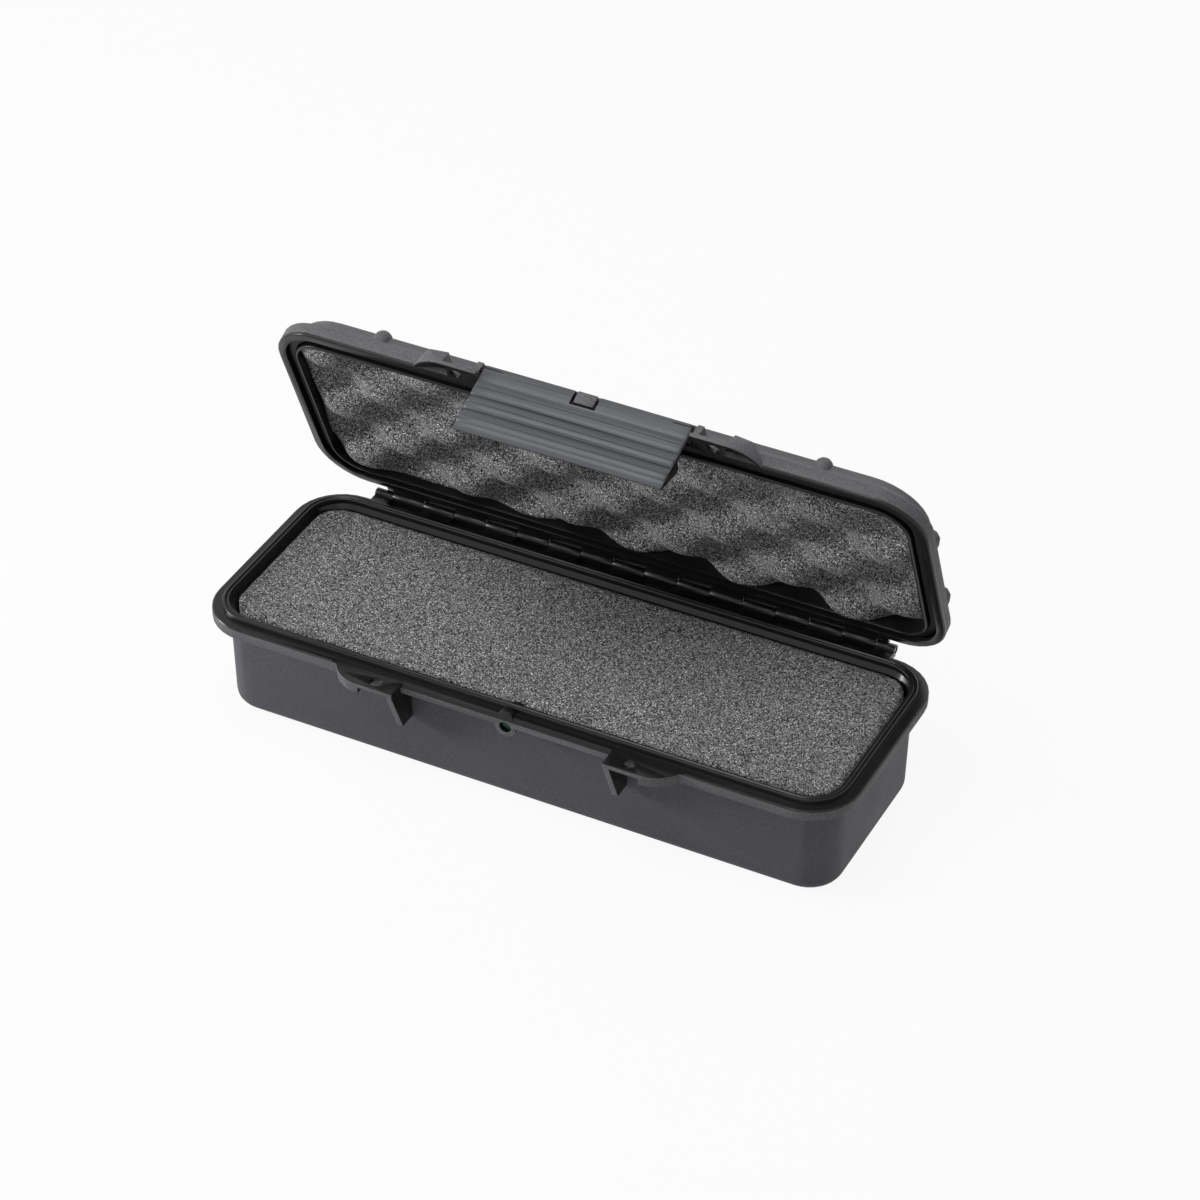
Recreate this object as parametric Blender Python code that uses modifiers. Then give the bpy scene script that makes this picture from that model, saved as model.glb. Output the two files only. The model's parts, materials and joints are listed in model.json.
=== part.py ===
# Long hard case with a hinged lid, one wide draw latch and foam inside, shown open.
# Metres, +Z up, X along the case, -Y towards the latch. The origin is the centre of the
# tub's flat underside. Lid and latch are modelled closed, then swung open about the hinge.

import math

import bmesh
import bpy
from mathutils import Matrix, Vector

MM = 0.001

# Clearances shared by all the pieces
GAP = 0.3 * MM                  # between solids that touch on the real case
OVERRUN = 1.0 * MM              # how far a cutter runs past, or a joined shape sinks in
STEP_IN = 0.3 * MM              # a rib or bumper stands back this much from its plate's edge
CORNER_STEPS = 8                # straight edges in each rounded corner

# Tub
TUB_LENGTH = 385.0 * MM
TUB_DEPTH = 123.4 * MM
TUB_CORNER = 20.5 * MM
TUB_EDGE = 6.0 * MM             # radius between wall and underside
TUB_EDGE_STEPS = 4
DRAFT = math.radians(1.42)      # the walls lean out by this much
WALL = 3.0 * MM
FLOOR = 3.0 * MM

# Rim of the tub: a hollow flange with a raised sealing ring on it
RIM_HEIGHT = 68.3 * MM          # top of the flange above the underside
SKIRT_HEIGHT = 7.4 * MM
SKIRT_WALL = 3.0 * MM
SIDE_OVERHANG = 8.4 * MM
FRONT_OVERHANG = 11.9 * MM
BACK_OVERHANG = 9.7 * MM
RIM_CHAMFER = 0.8 * MM
RING_INSET = 6.0 * MM
RING_WIDTH = 4.4 * MM
RING_HEIGHT = 3.3 * MM
RING_CHAMFER = 0.6 * MM
RING_GROOVE = 0.7 * MM          # fine groove along the top of the ring, width and depth
RIM_ROOT = 5.5 * MM             # wall meets the flange this far below the flange's top
MOUTH_LIP = 2.6 * MM            # height in which the mouth narrows to the tub's inner wall

# Padlock lugs on the tub's rim, and the ears above them on the lid
LUG_INNER_END = 65.8 * MM       # distance from the middle of the case
LUG_REACH = 11.3 * MM           # how far a lug stands out from the flange
LUG_STRAIGHT_END = 88.4 * MM
LUG_LOBE_RADIUS = 21.7 * MM
LUG_PLATE = 2.5 * MM
LUG_STEP = 0.6 * MM             # the lug's top lies this much below the flange
LUG_STEP_INSET = 2.8 * MM
LOBE_STEPS = 7
PADLOCK_X = 79.3 * MM
PADLOCK_Y_OUT = 4.6 * MM        # centre of the padlock hole, out from the flange
PADLOCK_HOLE = 3.75 * MM        # radius
GUSSET_THICK = 3.6 * MM
GUSSET_DROP = 31.8 * MM         # how far the gusset's tip hangs below the rim's top
GUSSET_TIP_OUT = 11.0 * MM      # flat length at the foot of the gusset
CAM_DROP = 2.9 * MM             # slope on the flange that guides the latch's hook
CAM_RUN = 1.6 * MM

# Pressure valve in the middle of the front rim
VALVE_DROP = 7.4 * MM           # bore axis below the top of the flange
VALVE_BOSS = 6.5 * MM
VALVE_MOUTH = 3.7 * MM
VALVE_MOUTH_DEPTH = 3.6 * MM
VALVE_CHAMBER = 4.7 * MM
VALVE_PORT = 1.8 * MM
VALVE_DISC = 0.8 * MM           # thickness of the membrane
VALVE_SLEEVE = 7.0 * MM         # length of the valve body
VALVE_SEAL_THICK = 1.4 * MM
VALVE_CUFF = 1.1 * MM           # width of the valve's sealing washer
KEY_RADIUS = 4.6 * MM           # half-round key that centres the lid
KEY_DROP = 0.8 * MM

# Hinge along the back
HINGE_OUT = 7.6 * MM            # axis behind the flange
HINGE_DROP = 0.35 * MM          # axis below the top of the flange
KNUCKLE_RADIUS = 3.0 * MM
KNUCKLE_PITCH = 20.9 * MM
KNUCKLE_END = 11.8 * MM         # the two end knuckles are shorter
KNUCKLE_COUNT = 17
KNUCKLE_SIDES = 16
PIN_RADIUS = 1.5 * MM
PIN_SIDES = 12
TRAY_THICK = 1.7 * MM           # webs that back the knuckles of the other half
TRAY_REACH = 0.8 * MM           # how far they pass the hinge axis

# Lid
PARTING_GAP = 0.3 * MM
BAND_HEIGHT = 9.0 * MM          # plain band of the lid, flush with the flange
CROWN_HEIGHT = 18.8 * MM        # lid's top above its rim
SHOULDER_INSET = 5.2 * MM       # slope between the band and the crown's wall
SHOULDER_RISE = 4.4 * MM
CROWN_LEAN = 1.2 * MM           # how much the crown's wall leans in
CROWN_CORNER = 7.0 * MM         # the crown's corners are this much rounder than the band's
LID_ROUND = 3.0 * MM
LID_ROUND_STEPS = 3
LID_SKIN = 3.0 * MM
CHANNEL_OUTER = 5.2 * MM        # inset of the seal channel from the rim
CHANNEL_CLEAR = 0.7 * MM        # between the channel's inner wall and the sealing ring
CHANNEL_DEPTH = 5.7 * MM
INNER_LIP = 1.5 * MM
LID_RIB_X = 136.5 * MM          # cross ribs on the lid
LID_RIB_Y = 29.0 * MM           # lengthwise ribs
LID_RIB_SHIFT = 5.0 * MM        # these lie this much nearer to the hinge
LID_RIB_HALF = 4.8 * MM
LID_RIB_ROUND_SHARE = 0.88      # radius of the ribs' round tops as a share of their half width
LID_RIB_RISE = 2.4 * MM
LID_RIB_NOSE = 2.0 * MM         # inset of the ribs' ends from the band
LID_RIB_STAGGER = 0.5 * MM      # lengthwise ribs stand this much lower
PANEL_INSET = 20.0 * MM
PANEL_RISE = 0.8 * MM
HOOD_HEIGHT = 8.6 * MM          # bumper over each padlock ear
HOOD_INNER = 87.5 * MM
HOOD_SHOULDER = 13.0 * MM       # from the hood's peak to where it starts to fall away
HOOD_FALL = 1.9 * MM            # how far it has come down there
HOOD_FACET = 7.0 * MM           # how far its inner facet spreads along the lid
HOOD_LEAN = 4.6 * MM            # how far its front leans back towards the top
HOOD_POCKET = 3.6 * MM          # depth of the hollow below the hood
HOOD_POCKET_WALL = 2.2 * MM
CHEEK_HEIGHT = 10.9 * MM        # upright wall beside the latch
CHEEK_REACH = 9.2 * MM
CHEEK_FACET = 6.0 * MM          # spread of the cheek's outer facet along the lid

# Latch
LATCH_HALF = 64.5 * MM
LATCH_TOP = 9.3 * MM            # top edge above the lid's rim
LATCH_LENGTH = 44.5 * MM
LATCH_FACE_OUT = 8.9 * MM       # plate's face out from the flange
LATCH_THICK = 2.6 * MM
LATCH_PIVOT_OUT = 5.2 * MM
LATCH_PIVOT_UP = 6.9 * MM
LATCH_BARREL = 3.3 * MM
LATCH_PIN_RADIUS = 1.25 * MM
LATCH_PIN_HALF = 67.6 * MM
RIB_STEP = 1.3 * MM             # how far each rib of the plate stands over the next
RIB_CROWN = 0.5 * MM
RIB_POINTS = 5
RIB_EDGE_SHARES = (0.0, 0.25, 0.45, 0.675, 0.885, 1.0)
NOTCH_HALF = 7.9 * MM           # notch in the plate for the lid's tab
NOTCH_BELOW = 1.6 * MM          # gap between the tab and the foot of the notch
TAB_HALF = 5.9 * MM
TAB_DROP = 7.7 * MM
HOOK_HALF = 61.0 * MM
HOOK_NOTCH_HALF = 8.5 * MM
HOOK_GRIP = 3.8 * MM            # how far the hook reaches under the flange
HOOK_DEPTH = 3.4 * MM
HOOK_LEAN = 1.2 * MM
STAY_THICK = 2.4 * MM           # end walls and stays behind the plate
STAY_PITCH = 24.0 * MM
STAY_TOP = 23.6 * MM            # their upper edge, down from the plate's top
STAY_OUT = 8.4 * MM             # how far they stand out from the plate's inside
STAY_NOSE = 2.4 * MM
LIP_UP = 2.4 * MM
LATCHED_ANGLE = math.radians(17.0)

# Seal
SEAL_HEIGHT = 2.1 * MM
SEAL_CLEAR = 0.5 * MM
SEAL_DOME = 0.5 * MM

# Foam
FOAM_CLEAR = 0.6 * MM
PAD_THICK = 10.0 * MM
FOAM_DROP = 1.3 * MM            # base foam's top below the flange's top
WAVE_X = 69.0 * MM
WAVE_Y = 50.5 * MM
WAVE_START_X = 1.5 * MM
WAVE_START_Y = 67.0 * MM
WAVE_TURN = math.radians(-2.3)  # the foam was cut a little askew to its waves
WAVE_PEAK_DROP = 1.2 * MM       # peaks of the lid foam below the lid's rim
WAVE_DEPTH = 13.0 * MM
WAVE_COLUMNS = 44
WAVE_ROWS = 16
FOAM_CORNER_STEPS = 3

# The pose of the photograph
LID_OPEN = math.radians(67.24)

# Places worked out from the sizes
SKIRT_LOW = RIM_HEIGHT - SKIRT_HEIGHT
LEAN = math.tan(DRAFT)
RIM_LENGTH = TUB_LENGTH + 2 * (SKIRT_LOW * LEAN + SIDE_OVERHANG)
RIM_DEPTH = TUB_DEPTH + 2 * SKIRT_LOW * LEAN + FRONT_OVERHANG + BACK_OVERHANG
RIM_CORNER = TUB_CORNER + SKIRT_LOW * LEAN + SIDE_OVERHANG
RIM_Y = (BACK_OVERHANG - FRONT_OVERHANG) / 2
FRONT = RIM_Y - RIM_DEPTH / 2
BACK = RIM_Y + RIM_DEPTH / 2
HINGE_Y = BACK + HINGE_OUT
HINGE_Z = RIM_HEIGHT - HINGE_DROP
PARTING = RIM_HEIGHT + PARTING_GAP
LID_TOP = PARTING + CROWN_HEIGHT
CROWN_EDGE = SHOULDER_INSET + CROWN_LEAN
CHANNEL_INNER = RING_INSET + RING_WIDTH + CHANNEL_CLEAR
LID_CEILING = LID_TOP - LID_SKIN
CAVITY_INSET = CHANNEL_INNER + INNER_LIP
PIVOT_Y = FRONT - LATCH_PIVOT_OUT
PIVOT_Z = PARTING + LATCH_PIVOT_UP
LUG_FRONT = FRONT - LUG_REACH
PADLOCK_Y = FRONT - PADLOCK_Y_OUT
VALVE_Z = RIM_HEIGHT - VALVE_DROP

PART = bpy.data.collections.new("hard_case")


# Basic shapes


def clear_scene():
    for thing in list(bpy.data.objects):
        bpy.data.objects.remove(thing, do_unlink=True)
    bpy.context.scene.collection.children.link(PART)


def material(name, color, roughness, metallic=0.0):
    paint = bpy.data.materials.new(name)
    paint.use_nodes = True
    shader = paint.node_tree.nodes["Principled BSDF"]
    shader.inputs["Base Color"].default_value = (*color, 1.0)
    shader.inputs["Roughness"].default_value = roughness
    shader.inputs["Metallic"].default_value = metallic
    return paint


def finish_mesh(name, bm):
    bmesh.ops.recalc_face_normals(bm, faces=bm.faces)
    mesh = bpy.data.meshes.new(name)
    bm.to_mesh(mesh)
    bm.free()
    solid = bpy.data.objects.new(name, mesh)
    PART.objects.link(solid)
    return solid


def box(name, low, high):
    """A block between two corners."""
    bm = bmesh.new()
    bmesh.ops.create_cube(bm, size=1.0)
    size = Vector(high) - Vector(low)
    bmesh.ops.scale(bm, vec=size, verts=bm.verts)
    bmesh.ops.translate(bm, vec=(Vector(high) + Vector(low)) / 2, verts=bm.verts)
    return finish_mesh(name, bm)


def rod(name, start, end, radius, sides):
    """A round bar from one point to another."""
    start, end = Vector(start), Vector(end)
    along = end - start
    bm = bmesh.new()
    bmesh.ops.create_cone(bm, cap_ends=True, segments=sides, radius1=radius, radius2=radius,
                          depth=along.length)
    turn = along.to_track_quat("Z", "Y").to_matrix().to_4x4()
    bmesh.ops.transform(bm, matrix=Matrix.Translation((start + end) / 2) @ turn, verts=bm.verts)
    return finish_mesh(name, bm)


def prism(name, outline, start, travel):
    """A flat outline of 3D points pushed along a direction. start shifts the outline first."""
    bm = bmesh.new()
    face = bm.faces.new([bm.verts.new(Vector(point) + Vector(start)) for point in outline])
    grown = bmesh.ops.extrude_face_region(bm, geom=[face])
    tips = [item for item in grown["geom"] if isinstance(item, bmesh.types.BMVert)]
    bmesh.ops.translate(bm, vec=travel, verts=tips)
    return finish_mesh(name, bm)


def prism_x(name, outline, low, high):
    """A profile of (y, z) points pushed along X."""
    return prism(name, [(0, y, z) for y, z in outline], (low, 0, 0), (high - low, 0, 0))


def prism_z(name, outline, low, high):
    """A plan of (x, y) points pushed up Z."""
    return prism(name, [(x, y, 0) for x, y in outline], (0, 0, low), (0, 0, high - low))


def rounded_plan(length, depth, corner, centre_y=0.0, steps=CORNER_STEPS):
    """Points round a rectangle with rounded corners, anticlockwise from the front right."""
    points = []
    for side_x, side_y, first in ((1, -1, -90), (1, 1, 0), (-1, 1, 90), (-1, -1, 180)):
        for step in range(steps + 1):
            angle = math.radians(first + 90 * step / steps)
            points.append((side_x * (length / 2 - corner) + corner * math.cos(angle),
                           centre_y + side_y * (depth / 2 - corner) + corner * math.sin(angle)))
    return points


def tub_loop(inset, z):
    """The tub's outline at a height, drawn in by an inset."""
    grow = z * LEAN - inset
    plan = rounded_plan(TUB_LENGTH + 2 * grow, TUB_DEPTH + 2 * grow, TUB_CORNER + grow)
    return [(x, y, z) for x, y in plan]


def rim_loop(inset, z, rounder=0.0):
    """The outline that flange and lid share, drawn in by an inset."""
    plan = rounded_plan(RIM_LENGTH - 2 * inset, RIM_DEPTH - 2 * inset,
                        RIM_CORNER - inset + rounder, RIM_Y)
    return [(x, y, z) for x, y in plan]


def loft(name, loops, ring=False):
    """A skin through loops of points. A ring joins the last loop to the first."""
    bm = bmesh.new()
    rows = [[bm.verts.new(point) for point in loop] for loop in loops]
    count = len(rows[0])
    pairs = list(zip(rows, rows[1:]))
    if ring:
        pairs.append((rows[-1], rows[0]))
    else:
        bm.faces.new(rows[0])
        bm.faces.new(rows[-1])
    for lower, upper in pairs:
        for i in range(count):
            j = (i + 1) % count
            bm.faces.new((lower[i], lower[j], upper[j], upper[i]))
    return finish_mesh(name, bm)


def combine(solid, tool, operation):
    """Joins a tool to a solid, or cuts it out, and removes the tool."""
    boolean = solid.modifiers.new(operation, "BOOLEAN")
    boolean.operation = operation
    boolean.object = tool
    view = bpy.context.evaluated_depsgraph_get()
    mesh = bpy.data.meshes.new_from_object(solid.evaluated_get(view))
    solid.modifiers.clear()
    solid.data = mesh
    bpy.data.objects.remove(tool, do_unlink=True)


def join(solid, tool):
    combine(solid, tool, "UNION")


def cut(solid, tool):
    combine(solid, tool, "DIFFERENCE")


def smooth(solid, paint, degrees=35.0):
    solid.data.materials.clear()
    solid.data.materials.append(paint)
    solid.data.shade_smooth()
    solid.data.set_sharp_from_angle(angle=math.radians(degrees))


# Shapes that the tub and the lid share


def lug_plan(side, inner, inset=0.0, sink=OVERRUN):
    """Plan of a padlock lug: straight at the latch, a round lobe outward, sunk in the rim."""
    lobe_y = LUG_FRONT + LUG_LOBE_RADIUS
    radius = LUG_LOBE_RADIUS - inset
    root = FRONT + sink
    sweep = math.acos((lobe_y - root) / radius)
    points = [(inner + inset, root), (inner + inset, LUG_FRONT + inset)]
    for step in range(LOBE_STEPS + 1):
        angle = sweep * step / LOBE_STEPS
        points.append((LUG_STRAIGHT_END + radius * math.sin(angle),
                       lobe_y - radius * math.cos(angle)))
    return [(side * x, y) for x, y in points]


def padlock_hole(side, low, high):
    place = (side * PADLOCK_X, PADLOCK_Y)
    return rod("padlock_cut", (*place, low), (*place, high), PADLOCK_HOLE, 20)


def knuckle_spans(first):
    """The X ranges of every second knuckle, starting with a given one."""
    middle = (KNUCKLE_COUNT - 2) * KNUCKLE_PITCH / 2
    edges = [-middle - KNUCKLE_END]
    edges += [-middle + i * KNUCKLE_PITCH for i in range(KNUCKLE_COUNT - 1)]
    edges.append(middle + KNUCKLE_END)
    spans = list(zip(edges, edges[1:]))[first::2]
    return [(low + GAP / 2, high - GAP / 2) for low, high in spans]


def add_tray(solid, low):
    """Web along the whole hinge, just clear of the knuckles that turn in it."""
    half = (KNUCKLE_COUNT - 2) * KNUCKLE_PITCH / 2 + KNUCKLE_END / 2
    join(solid, box("tray", (-half, BACK - SKIRT_WALL / 2, low),
                    (half, HINGE_Y + TRAY_REACH, low + TRAY_THICK)))


def knuckle_arc(turn):
    """Three quarters of a knuckle's outline, from its front over the side that a turn picks."""
    steps = KNUCKLE_SIDES * 3 // 4
    angles = [math.pi + turn * 2 * math.pi * step / KNUCKLE_SIDES for step in range(steps + 1)]
    return [(HINGE_Y + KNUCKLE_RADIUS * math.cos(angle), HINGE_Z + KNUCKLE_RADIUS * math.sin(angle))
            for angle in angles]


def add_knuckles(solid, first, outline):
    """Hinge knuckles on their arms, bored for the pin."""
    for low, high in knuckle_spans(first):
        join(solid, prism_x("knuckle", outline, low, high))
    reach = RIM_LENGTH / 2
    cut(solid, rod("bore", (-reach, HINGE_Y, HINGE_Z), (reach, HINGE_Y, HINGE_Z),
                   PIN_RADIUS + GAP, PIN_SIDES))


# The tub


def tub_skin():
    """Outer wall, hollow flange, sealing ring and inner wall in one turned-over profile."""
    top = RIM_HEIGHT + RING_HEIGHT
    groove = RING_INSET + RING_WIDTH / 2
    deck = RIM_HEIGHT - SKIRT_WALL
    loops = []
    for step in range(TUB_EDGE_STEPS + 1):
        angle = math.radians(90 * step / TUB_EDGE_STEPS)
        loops.append(tub_loop(TUB_EDGE * (1 - math.sin(angle)), TUB_EDGE * (1 - math.cos(angle))))
    loops += [
        tub_loop(0, RIM_HEIGHT - RIM_ROOT),
        rim_loop(SKIRT_WALL, deck),
        rim_loop(SKIRT_WALL, SKIRT_LOW),
        rim_loop(RIM_CHAMFER, SKIRT_LOW),
        rim_loop(0, SKIRT_LOW + RIM_CHAMFER),
        rim_loop(0, RIM_HEIGHT - RIM_CHAMFER),
        rim_loop(RIM_CHAMFER, RIM_HEIGHT),
        rim_loop(RING_INSET, RIM_HEIGHT),
        rim_loop(RING_INSET, top - RING_CHAMFER),
        rim_loop(RING_INSET + RING_CHAMFER, top),
        rim_loop(groove - RING_GROOVE, top),
        rim_loop(groove, top - RING_GROOVE),
        rim_loop(groove + RING_GROOVE, top),
        rim_loop(RING_INSET + RING_WIDTH - RING_CHAMFER, top),
        rim_loop(RING_INSET + RING_WIDTH, top - RING_CHAMFER),
        rim_loop(RING_INSET + RING_WIDTH, RIM_HEIGHT),
        tub_loop(WALL, RIM_HEIGHT - MOUTH_LIP),
    ]
    for step in range(TUB_EDGE_STEPS + 1):
        angle = math.radians(90 * step / TUB_EDGE_STEPS)
        radius = TUB_EDGE - WALL / 2
        loops.append(tub_loop(WALL + radius * (1 - math.cos(angle)),
                              FLOOR + radius * (1 - math.sin(angle))))
    return loft("base_shell", loops)


def add_lugs(tub):
    """Padlock lugs with thick lobes, recessed tops and a gusset at the latch end."""
    plate_top = RIM_HEIGHT - LUG_STEP
    plate_low = plate_top - LUG_PLATE
    for side in (-1, 1):
        sink = 2 * OVERRUN
        join(tub, prism_z("lug", lug_plan(side, LUG_INNER_END, sink=sink), plate_low,
                          plate_top + STEP_IN))
        lobe = lug_plan(side, LUG_STRAIGHT_END - OVERRUN, STEP_IN, sink)
        join(tub, prism_z("lobe", lobe, SKIRT_LOW + STEP_IN, plate_low + OVERRUN))
        end = LUG_INNER_END + STEP_IN
        low, high = sorted((side * end, side * (end + GUSSET_THICK)))
        foot = RIM_HEIGHT - GUSSET_DROP
        wall = -TUB_DEPTH / 2 - foot * LEAN
        front = LUG_FRONT + STEP_IN
        gusset = [(front, plate_low + OVERRUN), (front, plate_low),
                  (wall - GUSSET_TIP_OUT, foot), (wall + OVERRUN, foot),
                  (wall + OVERRUN, plate_low + OVERRUN)]
        join(tub, prism_x("gusset", gusset, low, high))
        end = LUG_STRAIGHT_END + LUG_LOBE_RADIUS
        left, right = sorted((side * (LUG_INNER_END - STEP_IN), side * end))
        cut(tub, box("lug_step", (left, LUG_FRONT - OVERRUN, plate_top),
                     (right, FRONT + LUG_STEP_INSET, RIM_HEIGHT + OVERRUN)))
        cut(tub, padlock_hole(side, plate_low - OVERRUN, RIM_HEIGHT + OVERRUN))


def add_hook_cam(tub):
    """Slope on the flange's front edge that leads the latch's hook down over it."""
    cam = [(FRONT - OVERRUN, RIM_HEIGHT - CAM_DROP - OVERRUN * CAM_DROP / CAM_RUN),
           (FRONT + CAM_RUN + OVERRUN, RIM_HEIGHT + OVERRUN * CAM_DROP / CAM_RUN),
           (FRONT - OVERRUN, RIM_HEIGHT + OVERRUN * CAM_DROP / CAM_RUN)]
    end = LUG_INNER_END + OVERRUN
    cut(tub, prism_x("hook_cam", cam, -end, end))


def add_valve_seat(tub):
    """Boss and stepped bore for the pressure valve, and the key that centres the lid."""
    inside = -TUB_DEPTH / 2 + WALL
    join(tub, rod("valve_boss", (0, FRONT + RIM_CHAMFER / 2, VALVE_Z), (0, inside, VALVE_Z),
                  VALVE_BOSS, 24))
    key_z = RIM_HEIGHT - KEY_DROP
    join(tub, rod("lid_key", (0, FRONT + RIM_CHAMFER / 2, key_z),
                  (0, FRONT + CHANNEL_OUTER - GAP, key_z), KEY_RADIUS, 20))
    cut(tub, rod("valve_mouth", (0, FRONT - OVERRUN, VALVE_Z), (0, inside, VALVE_Z),
                 VALVE_MOUTH, 20))
    cut(tub, rod("valve_chamber", (0, FRONT + VALVE_MOUTH_DEPTH, VALVE_Z),
                 (0, inside + WALL, VALVE_Z), VALVE_CHAMBER, 20))


def make_tub(paint):
    tub = tub_skin()
    add_hook_cam(tub)
    add_lugs(tub)
    add_valve_seat(tub)
    root = BACK - SKIRT_WALL / 2
    add_tray(tub, HINGE_Z - KNUCKLE_RADIUS - GAP - TRAY_THICK)
    low = HINGE_Z - KNUCKLE_RADIUS - GAP - TRAY_THICK / 2
    add_knuckles(tub, 0, [(root, low), (root, HINGE_Z), *knuckle_arc(-1), (HINGE_Y, low)])
    smooth(tub, paint)
    return tub


def make_valve(body_paint, disc_paint, seal_paint):
    """Membrane behind the mouth, a sleeve that backs it and a washer that seals the sleeve."""
    radius = VALVE_CHAMBER - GAP
    y = FRONT + VALVE_MOUTH_DEPTH + GAP
    disc = rod("valve_membrane", (0, y, VALVE_Z), (0, y + VALVE_DISC, VALVE_Z), radius, 20)
    smooth(disc, disc_paint)
    y += VALVE_DISC + GAP
    washer = rod("valve_washer", (0, y, VALVE_Z), (0, y + VALVE_SEAL_THICK, VALVE_Z), radius, 20)
    cut(washer, rod("bore", (0, y - OVERRUN, VALVE_Z), (0, y + VALVE_SEAL_THICK + OVERRUN, VALVE_Z),
                    radius - VALVE_CUFF, 20))
    smooth(washer, seal_paint)
    y += VALVE_SEAL_THICK + GAP
    sleeve = rod("valve_body", (0, y, VALVE_Z), (0, y + VALVE_SLEEVE, VALVE_Z), radius, 20)
    cut(sleeve, rod("bore", (0, y - OVERRUN, VALVE_Z), (0, y + VALVE_SLEEVE + OVERRUN, VALVE_Z),
                    VALVE_PORT, 12))
    smooth(sleeve, body_paint)


def make_hinge_pin(paint):
    half = (KNUCKLE_COUNT - 2) * KNUCKLE_PITCH / 2 + KNUCKLE_END - 2 * GAP
    pin = rod("hinge_pin", (-half, HINGE_Y, HINGE_Z), (half, HINGE_Y, HINGE_Z),
              PIN_RADIUS, PIN_SIDES)
    smooth(pin, paint)


# The lid, drawn closed


def lid_skin():
    """Band, crown, ceiling, inner lip and seal channel in one profile."""
    loops = [rim_loop(PANEL_INSET, LID_TOP + PANEL_RISE, CROWN_CORNER),
             rim_loop(PANEL_INSET - 2 * PANEL_RISE, LID_TOP, CROWN_CORNER)]
    for step in range(LID_ROUND_STEPS + 1):
        angle = math.radians(90 * step / LID_ROUND_STEPS)
        loops.append(rim_loop(CROWN_EDGE + LID_ROUND * (1 - math.sin(angle)),
                              LID_TOP - LID_ROUND * (1 - math.cos(angle)), CROWN_CORNER))
    band_top = PARTING + BAND_HEIGHT
    loops += [
        rim_loop(SHOULDER_INSET, band_top + SHOULDER_RISE, CROWN_CORNER),
        rim_loop(RIM_CHAMFER / 2, band_top),
        rim_loop(0, band_top - RIM_CHAMFER),
        rim_loop(0, PARTING + RIM_CHAMFER),
        rim_loop(RIM_CHAMFER, PARTING),
        rim_loop(CHANNEL_OUTER, PARTING),
        rim_loop(CHANNEL_OUTER, PARTING + CHANNEL_DEPTH),
        rim_loop(CHANNEL_INNER, PARTING + CHANNEL_DEPTH),
        rim_loop(CHANNEL_INNER, PARTING + RIM_CHAMFER),
        rim_loop(CHANNEL_INNER + RIM_CHAMFER, PARTING),
        rim_loop(CAVITY_INSET, PARTING),
        rim_loop(CAVITY_INSET, LID_CEILING - RIM_CHAMFER),
        rim_loop(CAVITY_INSET + RIM_CHAMFER, LID_CEILING),
    ]
    return loft("lid_shell", loops)


def rib_band(name, centre, half_run, across_x):
    """A rib that wraps over the lid: along the top and down the crown at both ends."""
    lower = 0 if across_x else LID_RIB_STAGGER
    low = PARTING + CHANNEL_DEPTH + RIM_CHAMFER - lower
    top = LID_TOP + LID_RIB_RISE - lower
    run = half_run - LID_RIB_NOSE
    corner = LID_ROUND + SHOULDER_INSET - LID_RIB_NOSE
    outline = [(-run, low)]
    for step in range(LID_ROUND_STEPS + 1):
        angle = math.radians(90 * step / LID_ROUND_STEPS)
        outline.append((-run + corner * (1 - math.cos(angle)),
                        top - corner * (1 - math.sin(angle))))
    outline += [(-along, z) for along, z in reversed(outline)]
    half = LID_RIB_HALF
    if across_x:
        shape = [(centre - half, RIM_Y + along, z) for along, z in outline]
        rib = prism(name, shape, (0, 0, 0), (2 * half, 0, 0))
    else:
        shape = [(along, centre - half, z) for along, z in outline]
        rib = prism(name, shape, (0, 0, 0), (0, 2 * half, 0))
    bevel = rib.modifiers.new("round_over", "BEVEL")
    bevel.width = half * LID_RIB_ROUND_SHARE
    bevel.segments = 4
    bevel.limit_method = "ANGLE"
    bevel.angle_limit = math.radians(60)
    return rib


def hollow_rib(rib):
    """Takes the inside of a rib away, so that it doesn't fill the lid's foam space."""
    loops = [rim_loop(CAVITY_INSET - OVERRUN, PARTING - OVERRUN),
             rim_loop(CAVITY_INSET - OVERRUN, LID_CEILING + OVERRUN)]
    cut(rib, loft("rib_core", loops))


def add_lid_ribs(lid):
    for side in (-1, 1):
        rib_y = RIM_Y + LID_RIB_SHIFT + side * LID_RIB_Y
        for centre, half_run, across_x in ((side * LID_RIB_X, RIM_DEPTH / 2, True),
                                           (rib_y, RIM_LENGTH / 2, False)):
            rib = rib_band("lid_rib", centre, half_run, across_x)
            hollow_rib(rib)
            join(lid, rib)


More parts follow.
